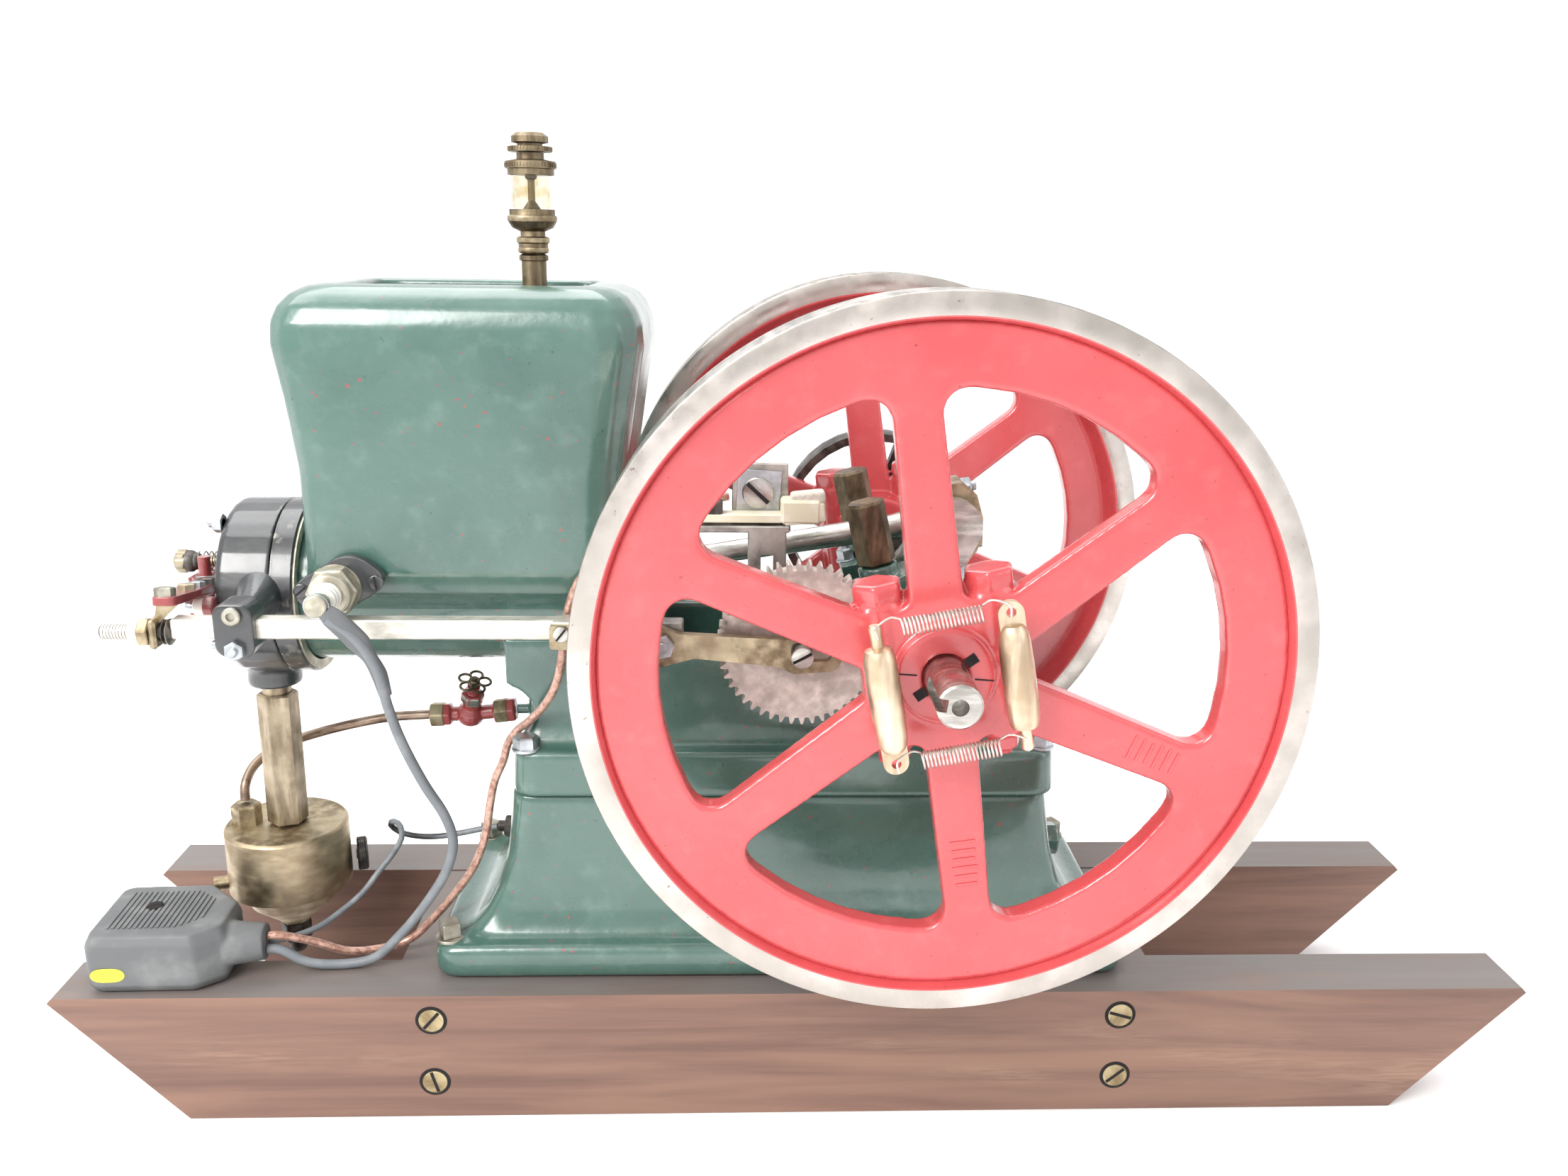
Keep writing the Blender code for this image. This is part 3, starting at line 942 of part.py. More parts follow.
# ---- governor -----------------------------------------------------------------------
def governor_weight(middle, toward):
    """Bob with a pierced lug at the end that `toward` points to, and a finger at the other end."""
    step = Vector((0, 1, 0))
    body = rod(3.8, middle - toward * 12.6, middle + toward * 12.6, 16, 0.8)
    eye = middle + toward * 16.0
    adds = [rod(3.0, eye - step * 0.9, eye + step * 0.9, 20),
            rod(1.6, middle + toward * 11.0, eye, 12),
            rod(1.5, middle - toward * 18.2, middle - toward * 11.0, 12),
            rod(1.8, middle + step * 2.0, middle + step * 8.0, 12)]
    hole = rod(1.1, eye + toward * 0.6 - step * 3.0, eye + toward * 0.6 + step * 3.0, 12)
    return combined(body, add=adds, cut=[hole])


def governor():
    """Two brass bob weights in front of the near flywheel, drawn together by two springs."""
    across = Vector((math.cos(GOVERNOR_TILT), 0, math.sin(GOVERNOR_TILT)))
    up = Vector((-math.sin(GOVERNOR_TILT), 0, math.cos(GOVERNOR_TILT)))
    hub = Vector((SHAFT_X, WEIGHT_Y, SHAFT_Z + 0.6))
    for name, side in (("governor_weight_left", -1), ("governor_weight_right", 1)):
        middle = hub + across * (side * WEIGHT_OFFSET)
        node(name, governor_weight(middle, up * side), "brass", middle)
    for name, side in (("governor_spring_upper", 1), ("governor_spring_lower", -1)):
        middle = hub + up * (side * SPRING_HEIGHT)
        spring = rod(2.0, middle - across * SPRING_REACH, middle + across * SPRING_REACH, 16)
        node(name, spring, "bright_steel", middle)


# ---- plug and leads -----------------------------------------------------------------
def mains_plug():
    """Chamfered two-part plug lying on the near skid, with a round boot for the leads."""
    turn = Matrix.Translation((-182.4, -28.2, 0)) @ Matrix.Rotation(math.radians(3.0), 4, "Z")
    outline = filleted([(-18.0, -16.6), (12.0, -17.6), (19.4, -12.2), (19.4, 3.6),
                        (8.6, 14.6), (-18.0, 14.6)],
                       [3.4, 3, 3, 3, 3, 3.4], 3)
    small = [(x * 0.93, y * 0.91) for x, y in outline]
    body = lofted([(SKID_HEIGHT + GAP, small), (SKID_HEIGHT + 3.0, outline), (SKID_HEIGHT + 14.6, outline),
                   (SKID_HEIGHT + 17.6, small)])
    bmesh.ops.transform(body, matrix=turn, verts=body.verts)
    start = Vector((-164.6, -34.2, 48.6))
    end = Vector((-153.4, -33.2, 48.6))
    length = (end - start).length
    boot = turned([(0, 0), (5.8, 0), (6.4, 1.2), (5.2, length), (0, length)], along(start, end - start), 24)
    node("mains_plug", combined(body, add=[boot]), "grey_plastic", (-182, -28, SKID_HEIGHT))


def leads():
    pipe("lead_spark_plug", HT_ROUTE, 1.4, "grey_lead", 5.0)
    pipe("lead_breaker", BREAKER_ROUTE, 1.2, "brown_lead", 6.0)
    pipe("lead_earth", EARTH_ROUTE, 0.9, "grey_lead", 3.0)


def main():
    clear_scene()
    skids()
    cross_rails()
    sub_base()
    engine_casting()
    bearing_caps()
    grease_cups()
    cylinder_liner()
    cylinder_head()
    valves()
    valve_spring()
    piston()
    connecting_rod()
    crankshaft()
    flywheels()
    belt_pulley()
    timing_gears()
    push_rod()
    push_rod_guide()
    rocker()
    rocker_tongue()
    spark_plug()
    contact_breaker()
    mixer()
    fuel_line()
    oiler()
    governor()
    mains_plug()
    leads()


main()
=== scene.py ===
import math

import bmesh
import bpy
from mathutils import Matrix, Vector


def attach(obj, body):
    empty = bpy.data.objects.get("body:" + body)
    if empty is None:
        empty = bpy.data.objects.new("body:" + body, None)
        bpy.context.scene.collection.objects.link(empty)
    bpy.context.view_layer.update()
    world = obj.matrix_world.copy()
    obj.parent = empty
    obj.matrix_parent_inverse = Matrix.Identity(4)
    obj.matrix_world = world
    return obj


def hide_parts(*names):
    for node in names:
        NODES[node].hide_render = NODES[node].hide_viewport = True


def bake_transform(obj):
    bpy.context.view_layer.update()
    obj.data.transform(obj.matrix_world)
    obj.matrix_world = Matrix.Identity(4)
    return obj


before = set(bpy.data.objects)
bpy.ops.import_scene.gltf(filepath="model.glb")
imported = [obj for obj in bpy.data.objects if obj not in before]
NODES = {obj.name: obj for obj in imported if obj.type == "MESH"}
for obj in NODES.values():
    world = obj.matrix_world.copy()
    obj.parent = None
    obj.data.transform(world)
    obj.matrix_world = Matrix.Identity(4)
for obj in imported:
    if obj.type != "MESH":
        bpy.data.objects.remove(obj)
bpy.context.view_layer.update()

MM = 0.001
COLLECTION = bpy.context.scene.collection

# ---- driving dimensions, in millimetres ---------------------------------------------
SHAFT_X, SHAFT_Z = 30.4, 146.0
CRANK_THROW, CRANK_ANGLE, ROD_LENGTH = 24.0, math.radians(59.3), 130.0
PIN = Vector((SHAFT_X + CRANK_THROW * math.cos(CRANK_ANGLE), 0,
              SHAFT_Z + CRANK_THROW * math.sin(CRANK_ANGLE)))
ROD_ANGLE = math.asin((PIN.z - SHAFT_Z) / ROD_LENGTH)
WHEEL_FACE = 82.5
SPOKE_TURN = math.radians(8.0)
CAP_TILT = math.radians(13.2)
CAM_X, CAM_Z = -1.84, 140.84
ROD_Y, ROD_Z = -42.3, 145.65
THREAD_Z = ROD_Z - 1.4
INTAKE_Y, INTAKE_Z = -3.0, 153.4
ROCKER_SLOPE = math.radians(8.0)
HEAD_FACE = -162.0
PLUG_X, PLUG_Z = -124.0, 155.0
BOWL_X = -157.0
VALVE = Vector((-101.5, 11.0, 101.4))
VALVE_UP = Vector((0.2, -0.38, 0.9)).normalized()
OILER_X = -75.2
GOVERNOR_TILT = math.radians(10.5)
SKID_FACE = 46.98              # side faces of the skids
FOOT_TOP, BED_TOP = 49.0, 105.2
PLUG_SEAT = -37.8              # front of the spark plug's flange
PLUG_TOP = 56.55               # top of the mains plug
BUSH = Vector((-168.4, -26.0, 146.5))
ROCKER_PIN = Vector((-168.5, -12.0, 146.4))
ROCKER_NEAR = (-44.5, 154.3)   # y and z of the sloping plate's near edge

HT_ROUTE = [(-152.95, -34.2, 46.6), (-150.0, -34.0, 46.5), (-142.5, -33.6, 42.0), (-133.0, -32.6, 40.6),
            (-124.0, -32.0, 42.0), (-116.0, -32.6, 49.5), (-107.0, -34.0, 61.0), (-100.0, -36.0, 73.0),
            (-97.6, -38.0, 82.5), (-98.8, -40.5, 91.0), (-103.2, -43.5, 102.0), (-107.6, -47.0, 116.0),
            (-109.6, -50.0, 127.0), (-110.8, -52.6, 137.4), (-114.4, -55.2, 146.0), (-121.0, -57.0, 152.4)]
BREAKER_ROUTE = [(-153.1, -32.6, 50.0), (-150.0, -32.3, 49.9), (-141.5, -28.6, 45.6), (-133.0, -26.6, 41.4),
                 (-124.0, -24.6, 40.9), (-115.6, -22.4, 42.6), (-108.6, -22.0, 49.2), (-101.4, -22.2, 57.8),
                 (-95.6, -22.0, 66.4), (-92.2, -21.0, 75.4), (-90.6, -20.4, 84.6), (-88.8, -20.4, 92.6),
                 (-86.0, -20.6, 99.0), (-84.4, -20.8, 104.4), (-81.4, -21.8, 108.8), (-77.6, -24.8, 112.6),
                 (-72.6, -28.4, 118.6), (-68.6, -31.8, 126.0), (-66.2, -34.6, 135.5), (-64.6, -36.2, 146.0),
                 (-61.0, -37.0, 156.5), (-53.5, -35.0, 165.6), (-43.0, -28.4, 172.0), (-32.0, -22.4, 175.4),
                 (-21.4, -19.0, 176.6)]
EARTH_ROUTE = [(-153.25, -31.0, 47.4), (-150.4, -30.6, 47.4), (-142.0, -23.6, 47.4), (-136.8, -17.2, 49.2),
               (-131.8, -13.0, 52.6), (-127.6, -9.2, 57.6), (-123.4, -5.6, 62.6), (-121.8, -1.8, 65.8),
               (-123.2, 1.6, 68.2), (-126.0, 4.2, 68.2), (-127.2, 6.2, 65.8), (-124.8, 6.6, 63.4),
               (-119.0, 5.6, 62.4), (-112.0, 4.6, 62.8), (-105.0, 4.0, 64.2), (-98.4, 4.0, 65.6),
               (-93.6, 4.0, 66.4)]


# ---- camera, floor and light --------------------------------------------------------
def camera():
    """Camera slightly above and left of the engine, level with the hopper's mouth."""
    yaw, pitch, roll = 0.03820, 0.26536, -0.01422
    forward = Vector((math.sin(yaw) * math.cos(pitch), math.cos(yaw) * math.cos(pitch), -math.sin(pitch)))
    level = Vector((math.cos(yaw), -math.sin(yaw), 0))
    down = forward.cross(level)
    right = level * math.cos(roll) + down * math.sin(roll)
    up = level * math.sin(roll) - down * math.cos(roll)
    data = bpy.data.cameras.new("camera")
    data.sensor_width = 36.0
    data.lens = 29.43
    data.clip_start = 0.01
    obj = bpy.data.objects.new("camera", data)
    turn = Matrix((right, up, -forward)).transposed().to_4x4()
    obj.matrix_world = shift(Vector((-18.97, -366.76, 245.01)) * MM) @ turn
    COLLECTION.objects.link(obj)
    bpy.context.scene.camera = obj


def area_light(name, at, size, power, colour=(1, 1, 1)):
    data = bpy.data.lights.new(name, "AREA")
    data.shape = "RECTANGLE"
    data.size, data.size_y = size
    data.energy = power
    data.color = colour
    obj = bpy.data.objects.new(name, data)
    obj.location = at
    aim = (Vector((-0.03, 0.0, 0.12)) - Vector(at)).to_track_quat("-Z", "Y")
    obj.rotation_euler = aim.to_euler()
    COLLECTION.objects.link(obj)


def studio():
    """Pale sheet curving up behind the engine, a bright even sky and soft lights."""
    world = bpy.data.worlds.new("studio")
    bpy.context.scene.world = world
    world.use_nodes = True
    sky = world.node_tree.nodes["Background"]
    sky.inputs["Color"].default_value = (1.0, 1.0, 1.0, 1.0)
    sky.inputs["Strength"].default_value = 1.05
    area_light("light_top", (-0.25, 0.25, 0.95), (0.9, 0.7), 7.0)
    area_light("light_front", (-0.50, -0.62, 0.66), (0.55, 0.40), 9.0, (1.0, 0.99, 0.97))
    area_light("light_right", (0.9, -0.45, 0.5), (0.5, 0.7), 1.4, (0.96, 0.98, 1.0))
    profile = [(-2.5, 0.0), (0.6, 0.0)]
    for k in range(1, 13):
        a = math.pi / 2 * k / 12
        profile.append((0.6 + 0.9 * math.sin(a), 0.9 - 0.9 * math.cos(a)))
    profile.append((1.5, 4.0))
    bm = bmesh.new()
    left = [bm.verts.new((-4.0, y, z)) for y, z in profile]
    right = [bm.verts.new((4.0, y, z)) for y, z in profile]
    for k in range(len(profile) - 1):
        bm.faces.new((left[k], right[k], right[k + 1], left[k + 1]))
    sheet = mesh_object("floor", bm, [paper_material()], scale=1.0, angle=60.0)
    sheet.location.z = -0.0002
    scene = bpy.context.scene
    scene.view_settings.view_transform = "Standard"
    scene.view_settings.look = "None"


# ---- material helpers ---------------------------------------------------------------
class Finish:
    """A Principled material with short calls for the nodes that feed it."""

    def __init__(self, name, colour, roughness=0.5, metallic=0.0, **sockets):
        self.material = bpy.data.materials.new(name)
        self.material.use_nodes = True
        self.tree = self.material.node_tree
        self.shader = self.tree.nodes["Principled BSDF"]
        self.set("Base Color", (*colour, 1.0))
        self.set("Roughness", roughness)
        self.set("Metallic", metallic)
        for key, value in sockets.items():
            self.set(key.replace("_", " "), value)
        self.where = self.tree.nodes.new("ShaderNodeTexCoord").outputs["Object"]
        self.normal = None

    def set(self, socket, value):
        self.shader.inputs[socket].default_value = value

    def link(self, source, target):
        self.tree.links.new(source, target)

    def noise(self, scale, stretch=(1, 1, 1), detail=3.0, rough=0.55, distortion=0.0, vector=None):
        mapping = self.tree.nodes.new("ShaderNodeMapping")
        mapping.inputs["Scale"].default_value = stretch
        self.link(vector or self.where, mapping.inputs["Vector"])
        node = self.tree.nodes.new("ShaderNodeTexNoise")
        node.inputs["Scale"].default_value = scale
        node.inputs["Detail"].default_value = detail
        node.inputs["Roughness"].default_value = rough
        node.inputs["Distortion"].default_value = distortion
        self.link(mapping.outputs["Vector"], node.inputs["Vector"])
        return node.outputs["Fac"]

    def ramp(self, value, low, high, first=0.0, last=1.0):
        """Map low..high to first..last, clamped."""
        node = self.tree.nodes.new("ShaderNodeMapRange")
        node.interpolation_type = "SMOOTHSTEP"
        self.link(value, node.inputs["Value"])
        node.inputs["From Min"].default_value = low
        node.inputs["From Max"].default_value = high
        node.inputs["To Min"].default_value = first
        node.inputs["To Max"].default_value = last
        return node.outputs["Result"]

    def maths(self, operation, first, second=None):
        node = self.tree.nodes.new("ShaderNodeMath")
        node.operation = operation
        for slot, value in enumerate((first, second)):
            if value is None:
                continue
            if isinstance(value, (int, float)):
                node.inputs[slot].default_value = value
            else:
                self.link(value, node.inputs[slot])
        return node.outputs["Value"]

    def blend(self, factor, first, second):
        node = self.tree.nodes.new("ShaderNodeMix")
        node.data_type = "RGBA"
        self.link(factor, node.inputs["Factor"])
        for name, value in (("A", first), ("B", second)):
            socket = next(s for s in node.inputs if s.name == name and s.type == "RGBA")
            if isinstance(value, tuple):
                socket.default_value = (*value, 1.0)
            else:
                self.link(value, socket)
        return next(s for s in node.outputs if s.type == "RGBA")

    def axis(self, name, vector=None):
        node = self.tree.nodes.new("ShaderNodeSeparateXYZ")
        self.link(vector or self.where, node.inputs["Vector"])
        return node.outputs[name]

    def facing(self, name):
        """One axis of the surface normal."""
        geometry = self.tree.nodes.new("ShaderNodeNewGeometry")
        return self.axis(name, geometry.outputs["Normal"])

    def edges(self, low=0.53, high=0.62):
        geometry = self.tree.nodes.new("ShaderNodeNewGeometry")
        return self.ramp(geometry.outputs["Pointiness"], low, high)

    def bump(self, height, depth, strength=1.0):
        node = self.tree.nodes.new("ShaderNodeBump")
        node.inputs["Strength"].default_value = strength
        node.inputs["Distance"].default_value = depth * MM
        self.link(height, node.inputs["Height"])
        if self.normal is not None:
            self.link(self.normal, node.inputs["Normal"])
        self.normal = node.outputs["Normal"]
        self.link(self.normal, self.shader.inputs["Normal"])

    def colour(self, socket):
        self.link(socket, self.shader.inputs["Base Color"])

    def rough(self, socket):
        self.link(socket, self.shader.inputs["Roughness"])


# ---- materials ----------------------------------------------------------------------
def paper_material():
    f = Finish("studio_floor", (0.93, 0.93, 0.93), 0.9)
    f.colour(f.blend(f.noise(3.0), (0.92, 0.92, 0.93), (0.94, 0.94, 0.94)))
    return f.material


def enamel(name, base, deep, light, roughness=0.2, peel=0.05, lumps=0.25, chips=0.5, bare=(0.30, 0.29, 0.27),
           specks=None):
    """Thick brushed enamel over a rough casting: lumps, orange peel, dust and chipped edges."""
    f = Finish(name, base, roughness, 0.0, Coat_Weight=0.55, Coat_Roughness=0.10, Specular_IOR_Level=0.75)
    tone = f.blend(f.ramp(f.noise(34.0, detail=2.0), 0.25, 0.60), deep, base)
    tone = f.blend(f.ramp(f.noise(150.0, detail=4.0), 0.48, 0.95), tone, light)
    tone = f.blend(f.ramp(f.noise(900.0, detail=2.0), 0.72, 0.76), tone, tuple(0.5 * c for c in deep))
    if specks:
        tone = f.blend(f.ramp(f.noise(620.0, detail=1.0), 0.745, 0.76), tone, specks)
    worn = f.maths("MULTIPLY", f.edges(), f.ramp(f.noise(260.0, detail=4.0), 0.60 - 0.12 * chips, 0.66))
    f.colour(f.blend(worn, tone, bare))
    f.rough(f.ramp(f.noise(60.0, detail=5.0), 0.3, 0.75, roughness, roughness + 0.16))
    f.bump(f.noise(75.0, detail=2.0), lumps, 0.8)
    f.bump(f.noise(330.0, detail=1.0), peel * 1.6, 0.7)
    f.bump(f.noise(620.0, detail=1.0), peel, 0.7)
    f.bump(worn, -0.15, 0.6)
    return f.material


def metal(name, base, dark, roughness=0.3, grain=(1, 1, 1), scale=400.0, stain=0.5, metallic=1.0):
    """Worked metal with directional scratches and darker stains at random."""
    f = Finish(name, base, roughness, metallic)
    tone = f.blend(f.ramp(f.noise(95.0, detail=5.0), 0.42, 0.42 + 0.5 * (1.1 - stain)), dark, base)
    streak = f.noise(scale, grain, detail=3.0)
    tone = f.blend(f.ramp(streak, 0.35, 0.8), tone, tuple(min(1.0, 1.18 * c) for c in base))
    f.colour(tone)
    f.rough(f.ramp(f.noise(170.0, detail=4.0), 0.3, 0.75, roughness, roughness + 0.28))
    f.bump(streak, 0.02, 0.5)
    return f.material


def turned_steel(name, base, dark):
    """Machined faces with fine rings round local Y."""
    f = Finish(name, base, 0.28, 1.0)
    radius = f.maths("SQRT", f.maths("ADD", f.maths("POWER", f.axis("X"), 2.0),
                                     f.maths("POWER", f.axis("Z"), 2.0)))
    merged = f.tree.nodes.new("ShaderNodeCombineXYZ")
    f.link(radius, merged.inputs["X"])
    f.link(f.axis("Y"), merged.inputs["Y"])
    rings = f.noise(2600.0, detail=2.0, vector=merged.outputs["Vector"])
    tone = f.blend(f.ramp(f.noise(55.0, detail=6.0), 0.38, 0.72), dark, base)
    tone = f.blend(f.ramp(f.noise(420.0, detail=4.0), 0.66, 0.74), tone, (0.30, 0.24, 0.19))
    f.colour(tone)
    f.rough(f.ramp(f.noise(120.0, detail=4.0), 0.3, 0.75, 0.22, 0.46))
    f.bump(rings, 0.012, 0.6)
    return f.material


def timber(name):
    """Stained softwood with long grain, a few lighter streaks and a dusty top."""
    f = Finish(name, (0.32, 0.18, 0.14), 0.5)
    grain = f.noise(60.0, (0.12, 2.4, 2.4), detail=7.0, rough=0.65, distortion=0.5)
    bands = f.noise(15.0, (0.30, 3.6, 3.6), detail=4.0, distortion=1.2)
    tone = f.blend(f.ramp(grain, 0.25, 0.75), (0.135, 0.070, 0.052), (0.240, 0.135, 0.100))
    tone = f.blend(f.ramp(bands, 0.45, 0.75), tone, (0.270, 0.150, 0.106))
    patches = f.maths("MULTIPLY", f.ramp(f.noise(22.0, (0.30, 1, 1.6), detail=3.0), 0.56, 0.72, 0.0, 0.6),
                      f.ramp(f.noise(900.0, (0.12, 1, 1.8), detail=3.0), 0.35, 0.65))
    tone = f.blend(patches, tone, (0.38, 0.235, 0.165))
    dust = f.maths("MULTIPLY", f.ramp(f.facing("Z"), 0.7, 0.95),
                   f.ramp(f.noise(55.0, (0.4, 1.5, 1), detail=6.0), 0.25, 0.7, 0.55, 0.95))
    tone = f.blend(dust, tone, (0.175, 0.163, 0.157))
    f.colour(tone)
    f.rough(f.ramp(grain, 0.3, 0.7, 0.38, 0.62))
    f.bump(grain, 0.2, 0.6)
    f.bump(f.noise(300.0, (0.06, 2.5, 2.5), detail=3.0), 0.08, 0.6)
    return f.material


def plastic(name, base, light, roughness=0.5, grit=900.0):
    f = Finish(name, base, roughness)
    f.colour(f.blend(f.ramp(f.noise(120.0, detail=5.0), 0.45, 0.8), base, light))
    f.rough(f.ramp(f.noise(200.0, detail=3.0), 0.3, 0.8, roughness, roughness + 0.2))
    f.bump(f.noise(grit, detail=2.0), 0.03, 0.6)
    return f.material


def glass_material():
    f = Finish("oiler_glass", (0.93, 0.90, 0.78), 0.04, 0.0, IOR=1.45, Transmission_Weight=1.0)
    f.colour(f.blend(f.ramp(f.noise(220.0, detail=3.0), 0.45, 0.7), (0.95, 0.93, 0.84), (0.78, 0.66, 0.42)))
    f.rough(f.ramp(f.noise(300.0), 0.4, 0.8, 0.03, 0.12))
    return f.material


def felt_material():
    f = Finish("felt", (0.66, 0.63, 0.54), 0.95, Sheen_Weight=0.4)
    f.colour(f.blend(f.noise(900.0, detail=5.0), (0.45, 0.42, 0.35), (0.80, 0.77, 0.68)))
    f.bump(f.noise(1500.0, detail=4.0), 0.35, 1.0)
    return f.material


# name, base, dark, roughness, grain, scale, stain, metallic
METALS = {
    "steel": ("bright_steel", (0.62, 0.60, 0.57), (0.36, 0.34, 0.31), 0.22, (0.2, 1, 1), 500.0),
    "bar": ("bar_steel", (0.86, 0.82, 0.74), (0.58, 0.55, 0.49), 0.36, (0.3, 1, 1), 500.0, 0.25, 0.7),
    "grey": ("grey_steel", (0.48, 0.46, 0.43), (0.27, 0.255, 0.235), 0.4, (1, 1, 1), 300.0, 0.7),
    "zinc": ("zinc_plate", (0.60, 0.63, 0.66), (0.40, 0.42, 0.44), 0.32, (1, 1, 1), 200.0, 0.4),
    "dark": ("dark_iron", (0.13, 0.12, 0.11), (0.045, 0.04, 0.036), 0.42, (1, 1, 1), 300.0, 0.6, 0.8),
    "brass": ("tarnished_brass", (0.44, 0.37, 0.25), (0.22, 0.17, 0.105), 0.34, (1, 1, 1), 350.0, 0.7),
    "bronze": ("aged_bronze", (0.30, 0.245, 0.16), (0.13, 0.095, 0.06), 0.38, (1, 1, 0.1), 420.0, 0.7),
    "pipe": ("copper_pipe", (0.34, 0.26, 0.20), (0.15, 0.10, 0.075), 0.35, (0.1, 1, 1), 500.0, 0.8),
    "gear": ("gear_face", (0.70, 0.63, 0.58), (0.48, 0.43, 0.39), 0.5, (1, 1, 1), 260.0, 0.5, 0.55),
    "tread": ("rim_tread", (0.46, 0.43, 0.40), (0.26, 0.24, 0.22), 0.32, (1, 0.1, 1), 300.0, 0.7),
    "bob": ("scratched_bronze", (0.80, 0.66, 0.50), (0.50, 0.38, 0.26), 0.3, (1, 1, 0.12), 300.0, 0.3),
    "wire": ("spring_wire", (0.80, 0.76, 0.72), (0.62, 0.57, 0.52), 0.25, (1, 1, 1), 300.0, 0.3),
    "riser": ("riser_bronze", (0.50, 0.42, 0.31), (0.27, 0.215, 0.15), 0.4, (1, 1, 0.15), 420.0, 0.5),
    "cup": ("cup_bronze", (0.24, 0.185, 0.12), (0.10, 0.075, 0.05), 0.36, (1, 1, 0.3), 420.0, 0.6),
    "beige": ("dirty_shell", (0.60, 0.57, 0.47), (0.38, 0.35, 0.28), 0.4, (1, 1, 1), 300.0, 0.5, 0.8),
    "aged_zinc": ("aged_zinc", (0.46, 0.44, 0.38), (0.27, 0.25, 0.20), 0.42, (1, 1, 1), 260.0, 0.7),
    "dark_wire": ("dark_wire", (0.30, 0.28, 0.25), (0.14, 0.125, 0.11), 0.3, (1, 1, 1), 300.0, 0.4),
    "dark_steel": ("dark_steel", (0.34, 0.32, 0.29), (0.15, 0.14, 0.125), 0.3, (1, 1, 1), 300.0, 0.5),
    "brass_screw": ("screw_brass", (0.50, 0.42, 0.26), (0.27, 0.20, 0.11), 0.36, (1, 0.2, 1), 500.0, 0.6),
    "brass_pale": ("terminal_brass", (0.55, 0.49, 0.38), (0.36, 0.30, 0.21), 0.34, (1, 0.2, 1), 420.0, 0.5),
    "brass_grey": ("union_brass", (0.36, 0.31, 0.21), (0.18, 0.145, 0.09), 0.36, (1, 1, 1), 300.0, 0.7),
    "dark_bronze": ("dark_bronze", (0.20, 0.17, 0.12), (0.07, 0.055, 0.04), 0.36, (1, 1, 1), 300.0, 0.7),
    "bowl": ("turned_brass", (0.52, 0.43, 0.30), (0.36, 0.28, 0.185), 0.36, (0.4, 0.4, 1.2), 260.0, 0.35),
    "brass_dull": ("dull_brass", (0.34, 0.30, 0.23), (0.18, 0.155, 0.115), 0.45, (1, 1, 1), 300.0, 0.7),
}
MATERIALS = {}


def make_materials():
    m = MATERIALS
    m["green"] = enamel("green_enamel", (0.060, 0.132, 0.107), (0.044, 0.108, 0.087), (0.115, 0.200, 0.172),
                        specks=(0.30, 0.05, 0.05))
    m["black"] = enamel("black_enamel", (0.026, 0.028, 0.031), (0.014, 0.015, 0.017), (0.055, 0.057, 0.062),
                        0.26, 0.045, 0.12, 0.35, (0.30, 0.28, 0.24))
    m["red"] = enamel("red_enamel", (0.56, 0.066, 0.072), (0.50, 0.052, 0.058), (0.64, 0.105, 0.108),
                      0.2, 0.03, 0.10, 0.45, (0.24, 0.12, 0.11))
    m["red_flat"] = enamel("rocker_red", (0.28, 0.035, 0.035), (0.15, 0.018, 0.020), (0.36, 0.09, 0.09),
                           0.35, 0.03,
                           0.08, 1.0, (0.36, 0.27, 0.25))
    m["rim"] = turned_steel("rim_steel", (0.69, 0.63, 0.59), (0.50, 0.46, 0.42))
    m["wood"] = timber("stained_timber")
    m["plug"] = plastic("grey_plastic", (0.120, 0.125, 0.128), (0.185, 0.190, 0.190), 0.45)
    m["lead_grey"] = plastic("grey_sheath", (0.17, 0.185, 0.20), (0.28, 0.29, 0.30), 0.45)
    m["lead_earth"] = two_tone_sheath()
    m["cream"] = plastic("cream_nylon", (0.72, 0.69, 0.52), (0.85, 0.83, 0.72), 0.45)
    m["porcelain"] = plastic("porcelain", (0.78, 0.76, 0.70), (0.88, 0.87, 0.83), 0.18)
    # near-black finish for painted shade: it stands for the shade in screw slots, key gaps, counterbores and
    # the plug's screw recess, and also colours the hub's dark split lines
    m["hole"] = plastic("painted_shade_and_dark_joints", (0.012, 0.010, 0.010), (0.03, 0.025, 0.022), 0.9)
    m["lead_copper"] = copper_lead()
    m["glass"] = glass_material()
    m["felt"] = felt_material()
    m["wood_cross"] = timber("stained_timber_cross")
    m["valve_red"] = enamel("valve_red", (0.30, 0.035, 0.035), (0.16, 0.016, 0.018), (0.40, 0.07, 0.06),
                            0.3, 0.03,
                            0.08, 0.6, (0.30, 0.20, 0.14))
    m["black_chipped"] = enamel("chipped_black", (0.030, 0.032, 0.036), (0.016, 0.017, 0.020),
                                (0.06, 0.06, 0.062),
                                0.3, 0.05, 0.15, 2.2, (0.50, 0.48, 0.42))
    m["sleeve"] = plastic("shrink_sleeve", (0.120, 0.126, 0.132), (0.20, 0.206, 0.210), 0.45)
    m["label"] = plastic("blank_label", (0.80, 0.72, 0.05), (0.86, 0.80, 0.20), 0.5)
    for key, values in METALS.items():
        m[key] = metal(*values)


def two_tone_sheath():
    """Grey sheath that turns black beyond the loop, on the far side of the middle plane."""
    f = Finish("earth_sheath", (0.17, 0.185, 0.20), 0.42)
    beyond = f.ramp(f.axis("Y"), 3.4 * MM, 4.2 * MM)
    mottle = f.ramp(f.noise(200.0, detail=4.0), 0.4, 0.8)
    grey = f.blend(mottle, (0.15, 0.165, 0.18), (0.27, 0.28, 0.29))
    f.colour(f.blend(beyond, grey, (0.022, 0.022, 0.025)))
    f.bump(f.noise(900.0, detail=2.0), 0.03, 0.6)
    return f.material


